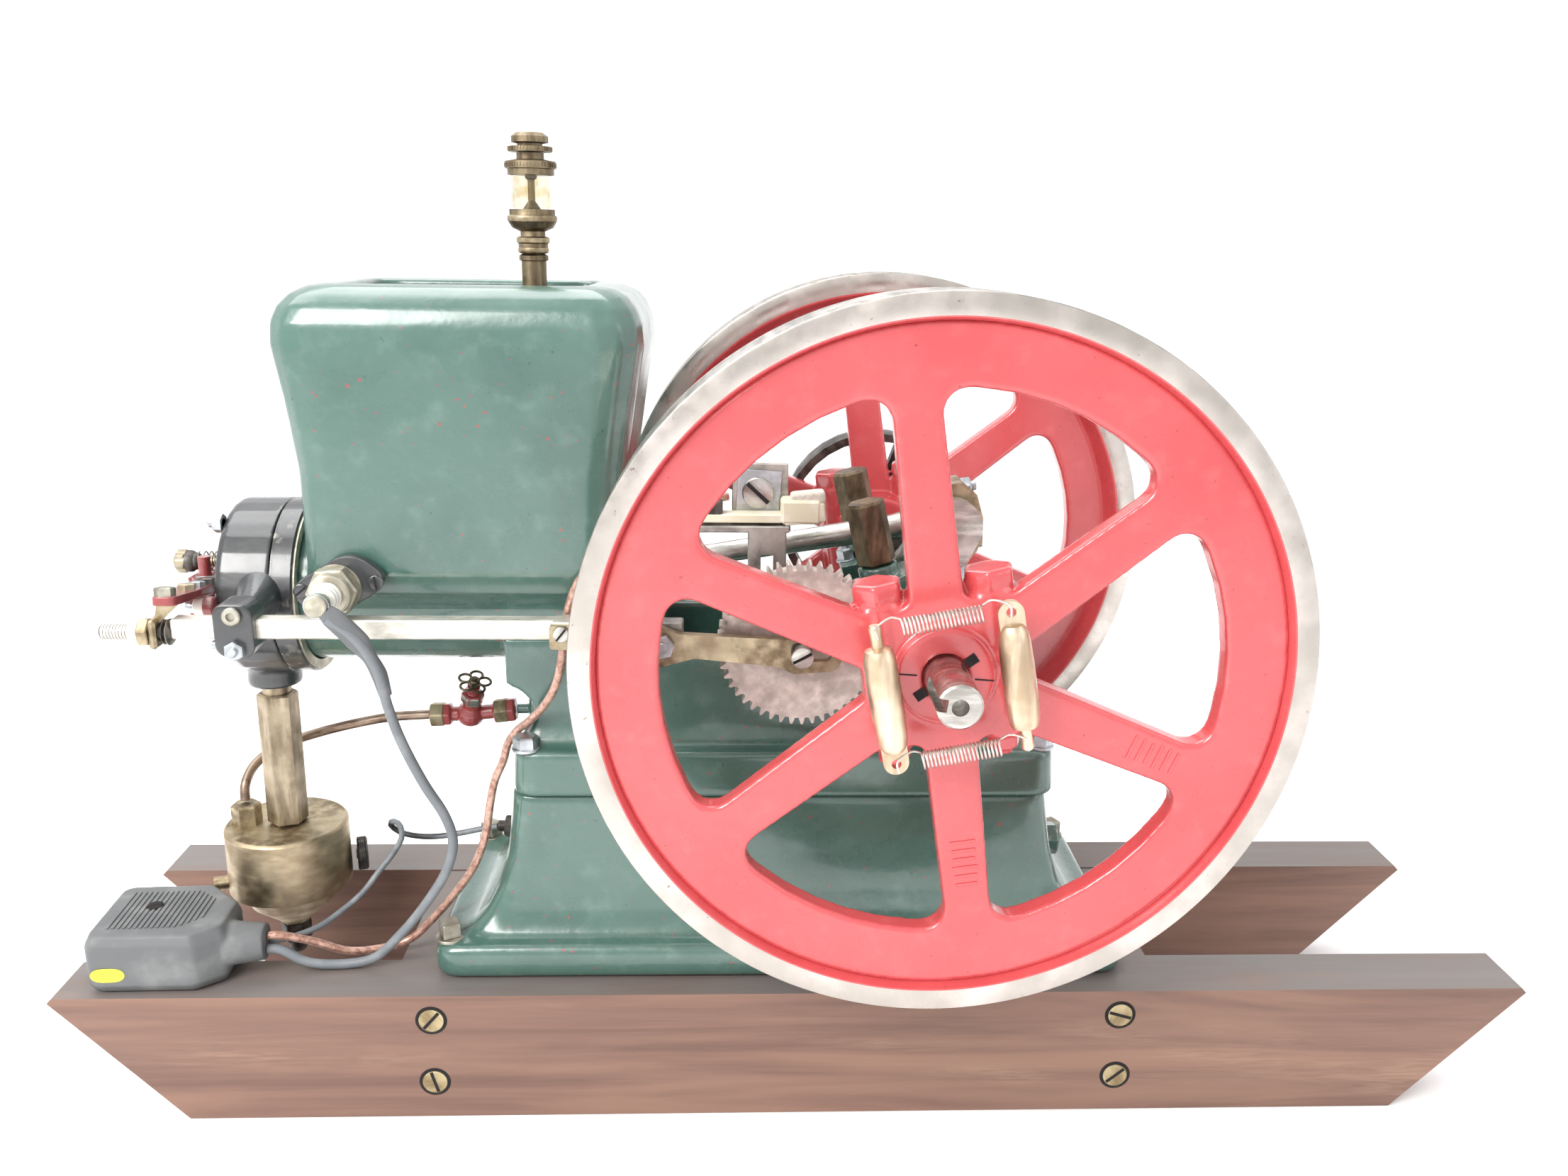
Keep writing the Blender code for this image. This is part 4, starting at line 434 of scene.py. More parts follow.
def copper_lead():
    """Twisted copper strands under a clear, pinkish sheath."""
    f = Finish("copper_sheath", (0.46, 0.26, 0.20), 0.28, 0.35, Coat_Weight=0.6, Coat_Roughness=0.12)
    strands = f.noise(900.0, (0.5, 1, 0.5), detail=2.0, distortion=1.0)
    f.colour(f.blend(f.ramp(strands, 0.3, 0.7), (0.30, 0.14, 0.10), (0.60, 0.37, 0.29)))
    f.bump(strands, 0.05, 0.5)
    return f.material


# ---- mesh helpers -------------------------------------------------------------------
def mesh_object(name, bm, materials, smooth=True, scale=MM, angle=35.0):
    """Object from a mesh drawn in millimetres round its own origin."""
    bmesh.ops.scale(bm, vec=(scale, scale, scale), verts=bm.verts)
    bmesh.ops.recalc_face_normals(bm, faces=bm.faces)
    mesh = bpy.data.meshes.new(name)
    bm.to_mesh(mesh)
    bm.free()
    for material in materials:
        mesh.materials.append(material)
    if smooth:
        mesh.shade_smooth()
        mesh.set_sharp_from_angle(angle=math.radians(angle))
    obj = bpy.data.objects.new(name, mesh)
    COLLECTION.objects.link(obj)
    return obj


shift = Matrix.Translation


def spin(angle, axis):
    return Matrix.Rotation(angle, 4, axis)


def along(point, direction):
    turn = Vector((0, 0, 1)).rotation_difference(Vector(direction)).to_matrix().to_4x4()
    return shift(Vector(point)) @ turn


def lathe(bm, profile, place=Matrix(), segments=32, slot=0):
    """Add a surface of revolution round local Z; (radius, height) from end to end."""
    rings = []
    for radius, height in profile:
        count = 1 if radius == 0 else segments
        angles = [2 * math.pi * k / segments for k in range(count)]
        rings.append([bm.verts.new(place @ Vector((radius * math.cos(a), radius * math.sin(a), height)))
                      for a in angles])
    pairs = list(zip(rings, rings[1:]))
    if profile[0][0] and profile[-1][0]:
        pairs.append((rings[-1], rings[0]))
    for index, (low, high) in enumerate(pairs):
        material = slot(index) if callable(slot) else slot
        for k in range(segments):
            after = (k + 1) % segments
            corners = [low[k % len(low)], low[after % len(low)], high[after % len(high)],
                       high[k % len(high)]]
            face = bm.faces.new(list(dict.fromkeys(corners)))
            face.material_index = material


def slab(bm, outline, low, high, place=Matrix(), slot=0, bevel=0.0):
    """Add a prism over a flat outline, its edges rounded by `bevel`."""
    part = bmesh.new()
    bottom = [part.verts.new((x, y, low)) for x, y in outline]
    top = [part.verts.new((x, y, high)) for x, y in outline]
    part.faces.new(bottom)
    part.faces.new(top)
    for k in range(len(outline)):
        after = (k + 1) % len(outline)
        part.faces.new((bottom[k], bottom[after], top[after], top[k]))
    bmesh.ops.recalc_face_normals(part, faces=part.faces)
    if bevel:
        sharp = [e for e in part.edges if e.calc_face_angle(0.0) > 0.6]
        bmesh.ops.bevel(part, geom=sharp, offset=bevel, segments=3, affect="EDGES", profile=0.6,
                        clamp_overlap=True)
    graft(bm, part, place, slot)


def graft(bm, part, place=Matrix(), slot=None):
    """Copy one mesh into another."""
    copies = {v: bm.verts.new(place @ v.co) for v in part.verts}
    for face in part.faces:
        new = bm.faces.new([copies[v] for v in face.verts])
        new.material_index = face.material_index if slot is None else slot
    part.free()


def box_outline(width, depth):
    return [(-width / 2, -depth / 2), (width / 2, -depth / 2), (width / 2, depth / 2),
            (-width / 2, depth / 2)]


def polygon(radius, sides, turn=0.0):
    return [(radius * math.cos(turn + 2 * math.pi * k / sides),
             radius * math.sin(turn + 2 * math.pi * k / sides))
            for k in range(sides)]


def piece(name, bm, materials, body="frame", slot=None, place=None, angle=35.0):
    """Named object on a body; its mesh is in world millimetres unless `place` says where its origin is."""
    obj = mesh_object(name, bm, [MATERIALS[m] for m in materials], angle=angle)
    if place is not None:
        flat = place.copy()
        flat.translation = flat.translation * MM
        obj.matrix_world = flat
    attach(obj, body)
    return obj


def hex_bolt(name, at, direction, flats, height, material="zinc", body="frame", washer=0.0, thread=0.0,
             turn=0.0,
             slot="bright_steel"):
    """Hexagon head with a domed chamfer, on a washer, with the thread's end standing proud."""
    bm = bmesh.new()
    base = 0.0
    if washer:
        lathe(bm, [(0, 0), (washer, 0), (washer, 0.55), (washer - 0.15, 0.7), (0, 0.7)], segments=28)
        base = 0.7
    radius = flats / math.sqrt(3)
    head = bmesh.new()
    ring = polygon(radius, 6)
    low = [head.verts.new((x, y, base)) for x, y in ring]
    high = [head.verts.new((x, y, base + height * 0.86)) for x, y in ring]
    cap = [head.verts.new((x * 0.86, y * 0.86, base + height)) for x, y in ring]
    for a, b in ((low, high), (high, cap)):
        for k in range(6):
            head.faces.new((a[k], a[(k + 1) % 6], b[(k + 1) % 6], b[k]))
    head.faces.new(cap)
    head.faces.new(low)
    graft(bm, head, slot=0)
    if thread:
        lathe(bm, [(0, base), (flats * 0.27, base), (flats * 0.27, base + height + thread),
                   (flats * 0.22, base + height + thread + 0.3), (0, base + height + thread + 0.3)],
                   segments=16)
    place = along(at, direction) @ spin(turn, "Z")
    return piece(name, bm, [material], body, slot, place, angle=25.0)


def turned(name, profile, place, segments, material, body, slot, **more):
    """Piece that is one surface of revolution."""
    bm = bmesh.new()
    lathe(bm, profile, place, segments)
    return piece(name, bm, [material], body, slot, **more)


def plate(name, outline, low, high, place, bevel, material, body, slot, **more):
    """Piece that is one prism over a flat outline."""
    bm = bmesh.new()
    slab(bm, outline, low, high, place, bevel=bevel)
    return piece(name, bm, [material], body, slot, **more)


def slotted_screw(name, at, direction, radius, height, material, body="frame", turn=0.5, slot="bright_steel",
                  domed=0.35):
    """Cheese or domed head with a milled slot; the slot is a thin near-black plate on the head, painted
    shade where the slot is.
    """
    bm = bmesh.new()
    lathe(bm, [(0, 0), (radius, 0), (radius, height * 0.7), (radius * 0.93, height * (0.7 + domed * 0.6)),
               (radius * 0.6, height * (0.85 + domed * 0.5)), (0, height * (0.9 + domed * 0.5))],
               segments=28)
    top = height * (0.92 + domed * 0.5)
    # the milled slot is not cut: a thin near-black plate lies on the head as painted shade of the slot
    slab(bm, box_outline(radius * 1.86, radius * 0.26), top - 0.12, top + 0.03, slot=1)
    return piece(name, bm, [material, "hole"], body, slot,
                 along(at, direction) @ spin(turn, "Z"))


def smooth_points(route, spacing):
    """Even points on the centripetal Catmull-Rom curve through the route."""
    route = [Vector(p) for p in route]
    pts = [2 * route[0] - route[1]] + route + [2 * route[-1] - route[-2]]
    dense = []
    for a, b, c, d in zip(pts, pts[1:], pts[2:], pts[3:]):
        t1 = (b - a).length ** 0.5
        t2 = t1 + (c - b).length ** 0.5
        t3 = t2 + (d - c).length ** 0.5
        for k in range(16):
            t = t1 + (t2 - t1) * k / 16
            ab = a * ((t1 - t) / t1) + b * (t / t1)
            bc = b * ((t2 - t) / (t2 - t1)) + c * ((t - t1) / (t2 - t1))
            cd = c * ((t3 - t) / (t3 - t2)) + d * ((t - t2) / (t3 - t2))
            low = ab * ((t2 - t) / t2) + bc * (t / t2)
            high = bc * ((t3 - t) / (t3 - t1)) + cd * ((t - t1) / (t3 - t1))
            dense.append(low * ((t2 - t) / (t2 - t1)) + high * ((t - t1) / (t2 - t1)))
    dense.append(route[-1])
    lengths = [0.0]
    for before, point in zip(dense, dense[1:]):
        lengths.append(lengths[-1] + (point - before).length)
    count = max(3, round(lengths[-1] / spacing))
    even, at = [], 0
    for k in range(count + 1):
        goal = lengths[-1] * k / count
        while at < len(lengths) - 2 and lengths[at + 1] < goal:
            at += 1
        part = (goal - lengths[at]) / max(lengths[at + 1] - lengths[at], 1e-9)
        even.append(dense[at].lerp(dense[at + 1], part))
    return even, lengths[-1]


def wire(name, points, radius, material, resolution=3):
    """Round curve through points given in millimetres."""
    curve = bpy.data.curves.new(name, "CURVE")
    curve.dimensions = "3D"
    spline = curve.splines.new("POLY")
    spline.points.add(len(points) - 1)
    for slot, point in zip(spline.points, points):
        slot.co = (*(Vector(point) * MM), 1.0)
    curve.bevel_depth = radius * MM
    curve.bevel_resolution = resolution
    curve.use_fill_caps = True
    curve.materials.append(MATERIALS[material])
    obj = bpy.data.objects.new(name, curve)
    COLLECTION.objects.link(obj)
    return obj


# ---- leads --------------------------------------------------------------------------
def leads():
    """The three leads, each from its end on the engine back to the plug's boot."""
    for name, route, radius, material, end, extra in (
            ("ht_lead", HT_ROUTE, 1.4, "lead_grey", "plug", ["mains_plug"]),
            ("breaker_lead", BREAKER_ROUTE, 1.2, "lead_copper", "object", []),
            ("earth_lead", EARTH_ROUTE, 0.9, "lead_earth", "object", [])):
        points, length = smooth_points(route, 2.0)
        points.reverse()
        obj = wire(name, points, radius, material)
        node = {"ht_lead": "lead_spark_plug", "breaker_lead": "lead_breaker",
                "earth_lead": "lead_earth"}[name]
        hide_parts(node)
        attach(obj, "frame")


# ---- CAD nodes that keep their shape ------------------------------------------------
def dress(node, material):
    """Give a CAD node a procedural finish and smooth shading between its real edges."""
    obj = NODES[node]
    mesh = obj.data
    mesh.materials.clear()
    mesh.materials.append(MATERIALS[material])
    if mesh.has_custom_normals:
        mesh.attributes.remove(mesh.attributes["custom_normal"])
    mesh.shade_smooth()
    weld = obj.modifiers.new("weld", "WELD")
    weld.merge_threshold = 0.002 * MM
    return obj


def machined(node, material, angle=32.0):
    """Crisp edges where faces meet at more than `angle`."""
    obj = dress(node, material)
    split = obj.modifiers.new("edges", "EDGE_SPLIT")
    split.split_angle = math.radians(angle)


def cast(node, material, voxel, rounds):
    """Soft edges and fillets, as on a sand casting."""
    soften(dress(node, material), voxel, rounds)


def soften(obj, voxel, rounds):
    remesh = obj.modifiers.new("skin", "REMESH")
    remesh.mode = "VOXEL"
    remesh.voxel_size = voxel * MM
    remesh.use_smooth_shade = True
    smooth = obj.modifiers.new("soften", "SMOOTH")
    smooth.factor = 0.5
    smooth.iterations = rounds


def dress_cad():
    for node in ("skid_near", "skid_far"):
        machined(node, "wood")
    for node in ("cross_rail_left", "cross_rail_right"):
        machined(node, "wood_cross")
    cast("engine_casting", "green", 1.0, 5)
    cast("sub_base", "green", 1.2, 5)
    cast("main_bearing_cap_near", "green", 0.5, 5)
    cast("main_bearing_cap_far", "green", 0.5, 5)
    cast("fuel_pickup_elbow", "green", 0.35, 3)
    cast("cylinder_head", "black", 0.6, 4)
    cast("push_rod_guide", "black", 0.35, 4)
    cast("fuel_valve_body", "valve_red", 0.22, 2)
    finishes = {
        "black": ["cylinder_liner"],
        "steel": ["crankshaft_near", "crankshaft_far", "crankpin", "gudgeon_pin", "connecting_rod"],
        "bar": ["push_rod"],
        "grey": ["piston", "cam_stud", "crank_gear", "breaker_bracket"],
        "gear": ["timing_gear"],
        "dark": ["belt_pulley", "mixer_needle"],
        "brass": ["big_end_cap", "push_rod_nut", "cam_follower_link", "rocker_tongue", "exhaust_valve",
                  "intake_valve", "fuel_bowl"],
        "bronze": ["oiler_pipe", "oiler_top", "oiler_knob"],
        "riser": ["mixer_riser"],
        "cup": ["grease_cup_near", "grease_cup_far"],
        "beige": ["spark_plug_shell"],
        "porcelain": ["spark_plug_insulator"],
        "cream": ["breaker_arm"],
        "red_flat": ["rocker_bracket"],
    }
    for material, nodes in finishes.items():
        for node in nodes:
            machined(node, material)


# ---- more shapes --------------------------------------------------------------------
def sweep(bm, points, radius, sides=8, slot=0):
    """Add a round tube along a line of points."""
    points = [Vector(p) for p in points]
    normal = (points[1] - points[0]).orthogonal().normalized()
    rings = []
    for k, point in enumerate(points):
        tangent = (points[min(k + 1, len(points) - 1)] - points[max(k - 1, 0)]).normalized()
        normal = (normal - tangent * normal.dot(tangent)).normalized()
        side = tangent.cross(normal)
        rings.append([bm.verts.new(point + (normal * math.cos(a) + side * math.sin(a)) * radius)
                      for a in (2 * math.pi * j / sides for j in range(sides))])
    for low, high in zip(rings, rings[1:]):
        for j in range(sides):
            face = bm.faces.new((low[j], low[(j + 1) % sides], high[(j + 1) % sides], high[j]))
            face.material_index = slot
    for ring in (rings[0], rings[-1]):
        bm.faces.new(ring).material_index = slot


def coil_points(start, end, radius, turns, per_turn=18, phase=0.0):
    """Helix between two points."""
    start, end = Vector(start), Vector(end)
    place = along(start, end - start)
    length = (end - start).length
    count = int(turns * per_turn)
    return [place @ Vector((radius * math.cos(phase + 2 * math.pi * k / per_turn),
                            radius * math.sin(phase + 2 * math.pi * k / per_turn), length * k / count))
            for k in range(count + 1)]


def filleted(points, radii, steps=6):
    """Outline with each corner rounded to its radius."""
    result = []
    count = len(points)
    for k, (point, radius) in enumerate(zip(points, radii)):
        corner = Vector(point)
        if not radius:
            result.append(corner)
            continue
        back = (Vector(points[k - 1]) - corner).normalized()
        ahead = (Vector(points[(k + 1) % count]) - corner).normalized()
        half = back.angle(ahead) / 2
        centre = corner + (back + ahead).normalized() * (radius / math.sin(half))
        first = corner + back * (radius / math.tan(half)) - centre
        last = corner + ahead * (radius / math.tan(half)) - centre
        swing = first.angle_signed(last)
        for j in range(steps + 1):
            a = swing * j / steps
            result.append(centre + Vector((first.x * math.cos(a) + first.y * math.sin(a),
                                           first.y * math.cos(a) - first.x * math.sin(a))))
    return [(p.x, p.y) for p in result]


def arc(radius, start, end, count):
    return [(radius * math.cos(start + (end - start) * k / (count - 1)),
             radius * math.sin(start + (end - start) * k / (count - 1))) for k in range(count)]


def pierced(bm, outline, holes, low, high, place=Matrix(), slot=0):
    """Add a plate with holes through it."""
    part = bmesh.new()
    for loop in [outline] + holes:
        verts = [part.verts.new((x, y, low)) for x, y in loop]
        for a, b in zip(verts, verts[1:] + verts[:1]):
            part.edges.new((a, b))
    bmesh.ops.triangle_fill(part, edges=part.edges[:], use_beauty=True)
    grown = bmesh.ops.extrude_face_region(part, geom=part.faces[:])["geom"]
    moved = [g for g in grown if isinstance(g, bmesh.types.BMVert)]
    bmesh.ops.translate(part, verts=moved, vec=(0, 0, high - low))
    bmesh.ops.recalc_face_normals(part, faces=part.faces)
    graft(bm, part, place, slot)


def shaft_frame(u, v, y):
    """Point across and up from the shaft in the tilted bearing frame."""
    c, s = math.cos(CAP_TILT), math.sin(CAP_TILT)
    return Vector((SHAFT_X + u * c - v * s, y, SHAFT_Z + u * s + v * c))


CAP_UP = Vector((-math.sin(CAP_TILT), 0, math.cos(CAP_TILT)))


# ---- flywheels ----------------------------------------------------------------------
SPOKES = 6
WEB_FRONT, WEB_BACK = 2.2, 8.6


def window(index):
    """One opening between the spokes, in the wheel's own plane."""
    middle = math.pi / 2 + SPOKE_TURN + (index + 0.5) * 2 * math.pi / SPOKES
    outer, inner, half_spoke = 67.8, 19.5, 5.9
    half_sector = math.pi / SPOKES
    outer_swing = half_sector - math.asin((half_spoke - 0.3) / outer)
    inner_swing = half_sector - math.asin((half_spoke + 0.5) / inner)
    points = arc(outer, middle - outer_swing, middle + outer_swing, 8)
    points += arc(inner, middle + inner_swing, middle - inner_swing, 3)
    return filleted(points, [5.5] + [0] * 6 + [5.5, 2.2, 0, 2.2])


def wheel_web(name, node, side):
    """Spoked web with its clamped hub, softened like a painted casting."""
    face = side * WHEEL_FACE
    upright = Matrix(((1, 0, 0, SHAFT_X), (0, 0, -side, face), (0, 1, 0, SHAFT_Z), (0, 0, 0, 1)))
    bm = bmesh.new()
    outline = polygon(82.6, 120)
    pierced(bm, outline, [window(k) for k in range(SPOKES)], WEB_FRONT, WEB_BACK, upright)
    hub = [(5.7, 0.2), (11.7, 0.2), (12.0, 0.6), (12.0, 2.2), (13.9, 2.6), (14.2, 3.4), (14.2, 20.6),
           (13.6, 21.2),
           (5.7, 21.2)]
    lathe(bm, hub, upright, 48)
    across = Vector((math.cos(SPOKE_TURN), 0, math.sin(SPOKE_TURN)))
    up = Vector((-math.sin(SPOKE_TURN), 0, math.cos(SPOKE_TURN)))
    centre = Vector((SHAFT_X, side * (WHEEL_FACE - 8.0), SHAFT_Z))
    for offset in (-13.4, 13.4):
        axis = along(centre + across * offset, up)
        lathe(bm, [(0, -18.6), (5.2, -18.6), (5.9, -17.6), (6.2, 0), (6.2, 17.8), (5.6, 19.0), (0, 19.0)],
              axis, 28)
        slab(bm, polygon(6.5, 6, 0.35), 19.2, 23.6, axis, bevel=0.7)
        slab(bm, polygon(4.4, 6, 0.2), -22.4, -18.4, axis, bevel=0.4)
        lathe(bm, [(0, -24.2), (2.2, -24.2), (2.4, -22.0), (0, -22.0)], axis, 16)
    obj = piece(name, bm, ["red"], "crankshaft", "red_enamel")
    soften(obj, 0.6, 5)
    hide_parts(node)


def wheel_rim(name, side):
    """Heavy rim: ground face and tread in steel, the hollow inside it painted."""
    bm = bmesh.new()
    place = along((0, 0, 0), (0, -side, 0))
    profile = [(82.2, 3.4), (82.5, 2.4), (82.9, 0.9), (83.25, 0.12), (83.6, 0.0), (88.4, 0.0), (88.8, 0.12),
               (89.0, 0.45), (89.0, 18.5), (88.8, 18.88), (88.4, 19.0), (82.9, 19.0), (82.4, 18.8),
               (82.1, 18.2),
               (81.0, 10.4), (80.2, 9.0), (78.4, 8.3), (78.4, 4.0)]

    def finish(index):
        if 4 <= index <= 5 or 9 <= index <= 10:
            return 0
        return 1 if 6 <= index <= 8 else 2
    lathe(bm, profile, place, 200, finish)
    piece(name, bm, ["rim", "tread", "red"], "crankshaft", "bright_steel",
          shift((SHAFT_X, side * WHEEL_FACE, SHAFT_Z)), angle=28)


def wheel_marks():
    """Key slots beside the shaft as near-black boxes of painted shade, hub split lines and the raised bars
    cast on two spokes.
    """
    bm = bmesh.new()
    # key slots: near-black boxes standing a little proud of the hub face, painted shade of the key gaps
    for turn in (math.radians(36), math.radians(216)):
        place = (shift((SHAFT_X, -WHEEL_FACE, SHAFT_Z)) @ spin(math.pi / 2, "X")
                 @ spin(turn, "Z"))
        slab(bm, box_outline(3.0, 2.4), -1.0, 0.12, place @ shift((7.2, 0, 0)))
    for turn in (math.radians(-4), math.radians(176)):
        place = (shift((SHAFT_X, -WHEEL_FACE, SHAFT_Z)) @ spin(math.pi / 2, "X")
                 @ spin(turn, "Z"))
        slab(bm, box_outline(4.6, 0.3), -0.3, -0.02, place @ shift((9.2, 0, 0)))
    piece("hub_slots", bm, ["hole"], "crankshaft", "dark_iron")
    bm = bmesh.new()
    for spoke, start in ((2, 50.0), (3, 44.0)):
        turn = math.pi / 2 + SPOKE_TURN - spoke * math.pi / 3
        place = (shift((SHAFT_X, -WHEEL_FACE + WEB_FRONT,
                                     SHAFT_Z)) @ spin(math.pi / 2, "X")
                 @ spin(turn, "Z"))
        for k in range(6):
            slab(bm, box_outline(0.7, 6.4 - 0.4 * (k % 3)), -0.3, 0.32,
                 place @ shift((start + 2.3 * k, 0.3, 0)), bevel=0.2)
    piece("spoke_marks", bm, ["red"], "crankshaft", "red_enamel")


def flywheels():
    wheel_web("wheel_web_near", "flywheel_near", -1)
    wheel_web("wheel_web_far", "flywheel_far", 1)
    wheel_rim("wheel_rim_near", -1)
    wheel_rim("wheel_rim_far", 1)
    wheel_marks()


# ---- governor -----------------------------------------------------------------------
def governor():
    """Bob weights with a pierced lug at one end and a finger at the other, and their springs."""
    across = Vector((math.cos(GOVERNOR_TILT), 0, math.sin(GOVERNOR_TILT)))
    up = Vector((-math.sin(GOVERNOR_TILT), 0, math.cos(GOVERNOR_TILT)))
    hub = Vector((SHAFT_X, -91.5, SHAFT_Z + 0.6))
    for name, side in (("left", -1), ("right", 1)):
        middle = hub + across * (side * 15.4)
        toward = up * side
        bm = bmesh.new()
        axis = along(middle, toward)
        lathe(bm, [(0, -12.8), (1.5, -12.8), (3.1, -12.2), (3.5, -11.2), (3.75, -9.4), (3.9, -4.0),
                   (3.9, 3.0),
                   (3.7, 8.6), (3.4, 11.2), (2.6, 12.6), (0, 12.9)], axis, 40)
        sweep(bm, [middle - toward * 11, middle - toward * 16.8, middle - toward * 17.0], 1.45, 20)
        lathe(bm, [(0, -18.0), (1.2, -18.0), (1.5, -17.5), (1.5, -16.4), (0, -16.4)], axis, 20)
        flat = shift(middle) @ Matrix((across, toward,
                                                    Vector((0, -1, 0)))).transposed().to_4x4()
        tab = [(-3.0, 9.0), (3.0, 9.0), (3.0, 15.4)] + [(x, y + 15.4) for x,
                                                        y in arc(3.0, 0.2, math.pi - 0.2, 12)]
        tab += [(-3.0, 15.4)]
        hole = [(x, y + 15.8) for x, y in polygon(1.15, 20)]
        pierced(bm, tab, [hole], -1.0, 1.0, flat)
        sweep(bm, [middle + Vector((0, 2, 0)), middle + Vector((0, 8.4, 0))], 1.8, 16)
        obj = piece(f"governor_bob_{name}", bm, ["bob"], f"governor_{name}", "brass")
        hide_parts(f"governor_weight_{name}")
    for name, height in (("upper", 16.4), ("lower", -16.4)):
        for side_name, side in (("left", -1), ("right", 1)):
            centre = hub + up * height
            outer = centre + across * (side * 9.4)
            hook_end = centre + across * (side * 15.2) + Vector((0, -1.6, 0))
            points = coil_points(centre, outer, 2.0, 10.5, 20, 0.0 if side > 0 else math.pi)
            bend = points[-1].lerp(hook_end, 0.35) + up * 1.6
            points += smooth_points([points[-1], bend, hook_end + up * 1.2, hook_end - up * 1.4], 0.5)[0][1:]
            bm = bmesh.new()
            sweep(bm, points, 0.26, 8)
            obj = mesh_object(f"governor_coil_{name}_{side_name}", bm, [MATERIALS["wire"]])
            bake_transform(obj)
            if side < 0:
                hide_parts(f"governor_spring_{name}")


# ---- valve gear details -------------------------------------------------------------
def head_details():
    """Studs and nuts on the head, the intake valve's collar and spring, and the rocker's fastenings."""
    for k, (y, z) in enumerate(((-12.0, 166.6), (13.0, 165.0), (17.0, 133.0), (-18.0, 133.0))):
        hex_bolt(f"head_nut_{k + 1}", (HEAD_FACE, y, z), (-1, 0, 0), 4.8, 2.6, "zinc", washer=0, thread=1.2,
                 turn=0.3 * k)
    wall = Vector((HEAD_FACE - 0.2, INTAKE_Y, INTAKE_Z))
    collar = Vector((-173.2, INTAKE_Y, INTAKE_Z))
    bm = bmesh.new()
    sweep(bm, coil_points(wall, collar, 2.75, 7.0, 20), 0.22, 8)
    spring = mesh_object("intake_coil", bm, [MATERIALS["dark_wire"]])
    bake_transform(spring)
    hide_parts("intake_spring")
    turned("intake_collar", [(1.7, 0), (3.15, 0), (3.2, 0.4), (3.1, 1.6), (2.5, 2.4), (2.5, 3.0),
                             (2.1, 3.6), (1.7, 3.7)], along((-176.9, INTAKE_Y, INTAKE_Z), (1, 0, 0)), 36,
                             "dark", "intake_valve", "dark_iron")
    plate("intake_nut", polygon(3.5, 6, 0.2), 0, 2.6, along((-176.9, INTAKE_Y, INTAKE_Z), (-1, 0, 0)), 0.3,
          "brass_dull", "intake_valve", "brass")
    thread = bmesh.new()
    threaded(thread, 1.75, 1.45, 9.8, 0.7, along((-173.2, INTAKE_Y, INTAKE_Z), (1, 0, 0)))
    piece("intake_thread", thread, ["brass"], "intake_valve", "brass", angle=20)
    tilt = (0, math.sin(ROCKER_SLOPE), math.cos(ROCKER_SLOPE))
    for number, x, y, flats, height, material, slot in (
            (1, -166.6, -42.4, 4.6, 2.4, "aged_zinc", "bright_steel"),
            (2, -166.2, -30.5, 4.2, 1.8, "brass_pale", "brass"),
            (3, -165.9, -24.1, 3.6, 1.7, "zinc", "bright_steel"),
            (4, -166.2, -18.0, 4.2, 1.9, "dark_steel", "dark_iron")):
        hex_bolt(f"rocker_bolt_{number}", (x, y, rocker_top(y) - 0.1), tilt, flats, height, material,
                 "rocker_arm",
                 turn=0.4 * number, slot=slot)
    turned("pivot_collar", [(1.75, 0), (2.9, 0), (2.9, 1.5), (2.6, 1.9), (1.75, 1.9)],
           along((-168.5, -12.0, rocker_top(-12.0) - 0.2), tilt), 32, "zinc", "frame", "bright_steel")
    bm = bmesh.new()
    lathe(bm, [(0, 0), (1.7, 0), (1.9, 0.3), (1.9, 2.2), (0, 2.2)], along(BUSH, (1, 0, 0)), 28)
    lathe(bm, [(0, 2.2), (2.3, 2.2), (2.6, 2.6), (2.6, 5.0), (0, 5.0)], along(BUSH, (1, 0, 0)), 32,
          slot=1)
    lathe(bm, [(0, 5.0), (2.75, 5.0), (2.75, 7.2), (2.2, 7.6), (0, 7.6)], along(BUSH, (1, 0, 0)), 32,
          slot=2)
    piece("head_bush", bm, ["zinc", "porcelain", "red_flat"], "frame", "porcelain")
    thread = bmesh.new()
    threaded(thread, 2.0, 1.6, 8.0, 0.8, along((-176.0, ROD_Y, THREAD_Z), (-1, 0, 0)))
    piece("push_rod_thread", thread, ["dark_steel"], "push_rod", "bright_steel", angle=20)
    turned("push_rod_sleeve", [(0, 0), (3.1, 0), (3.4, 0.3), (3.4, 2.4), (3.1, 2.6), (0, 2.6)],
           along((-176.2, ROD_Y, THREAD_Z), (1, 0, 0)), 32, "cream", "push_rod", "nylon")
    bm = bmesh.new()
    lock = [(0, 0), (2.4, 0), (3.3, 0.7), (3.4, 0.95), (2.2, 1.3), (2.2, 1.5), (3.5, 1.9), (3.6, 2.2),
            (2.5, 3.0), (0, 3.0)]
    lathe(bm, lock, along((-168.4, ROD_Y, THREAD_Z), (1, 0, 0)), 12)
    piece("push_rod_lock_nut", bm, ["dark_steel"], "push_rod", "dark_iron", angle=40)
    guide_block()
    turned("head_flange_ring", [(22.0, 0), (25.0, 0), (25.4, 0.4), (25.4, 5.4), (25.0, 5.8), (22.0, 5.8)],
           along((-146.3, 0, SHAFT_Z), (1, 0, 0)), 96, "black", "frame", "black_enamel")
    turned("head_gasket", [(22.0, 0), (24.7, 0), (24.7, 0.5), (22.0, 0.5)],
           along((-140.5, 0, SHAFT_Z), (1, 0, 0)), 96, "beige", "frame", "grey_steel")
    rocker_plates()


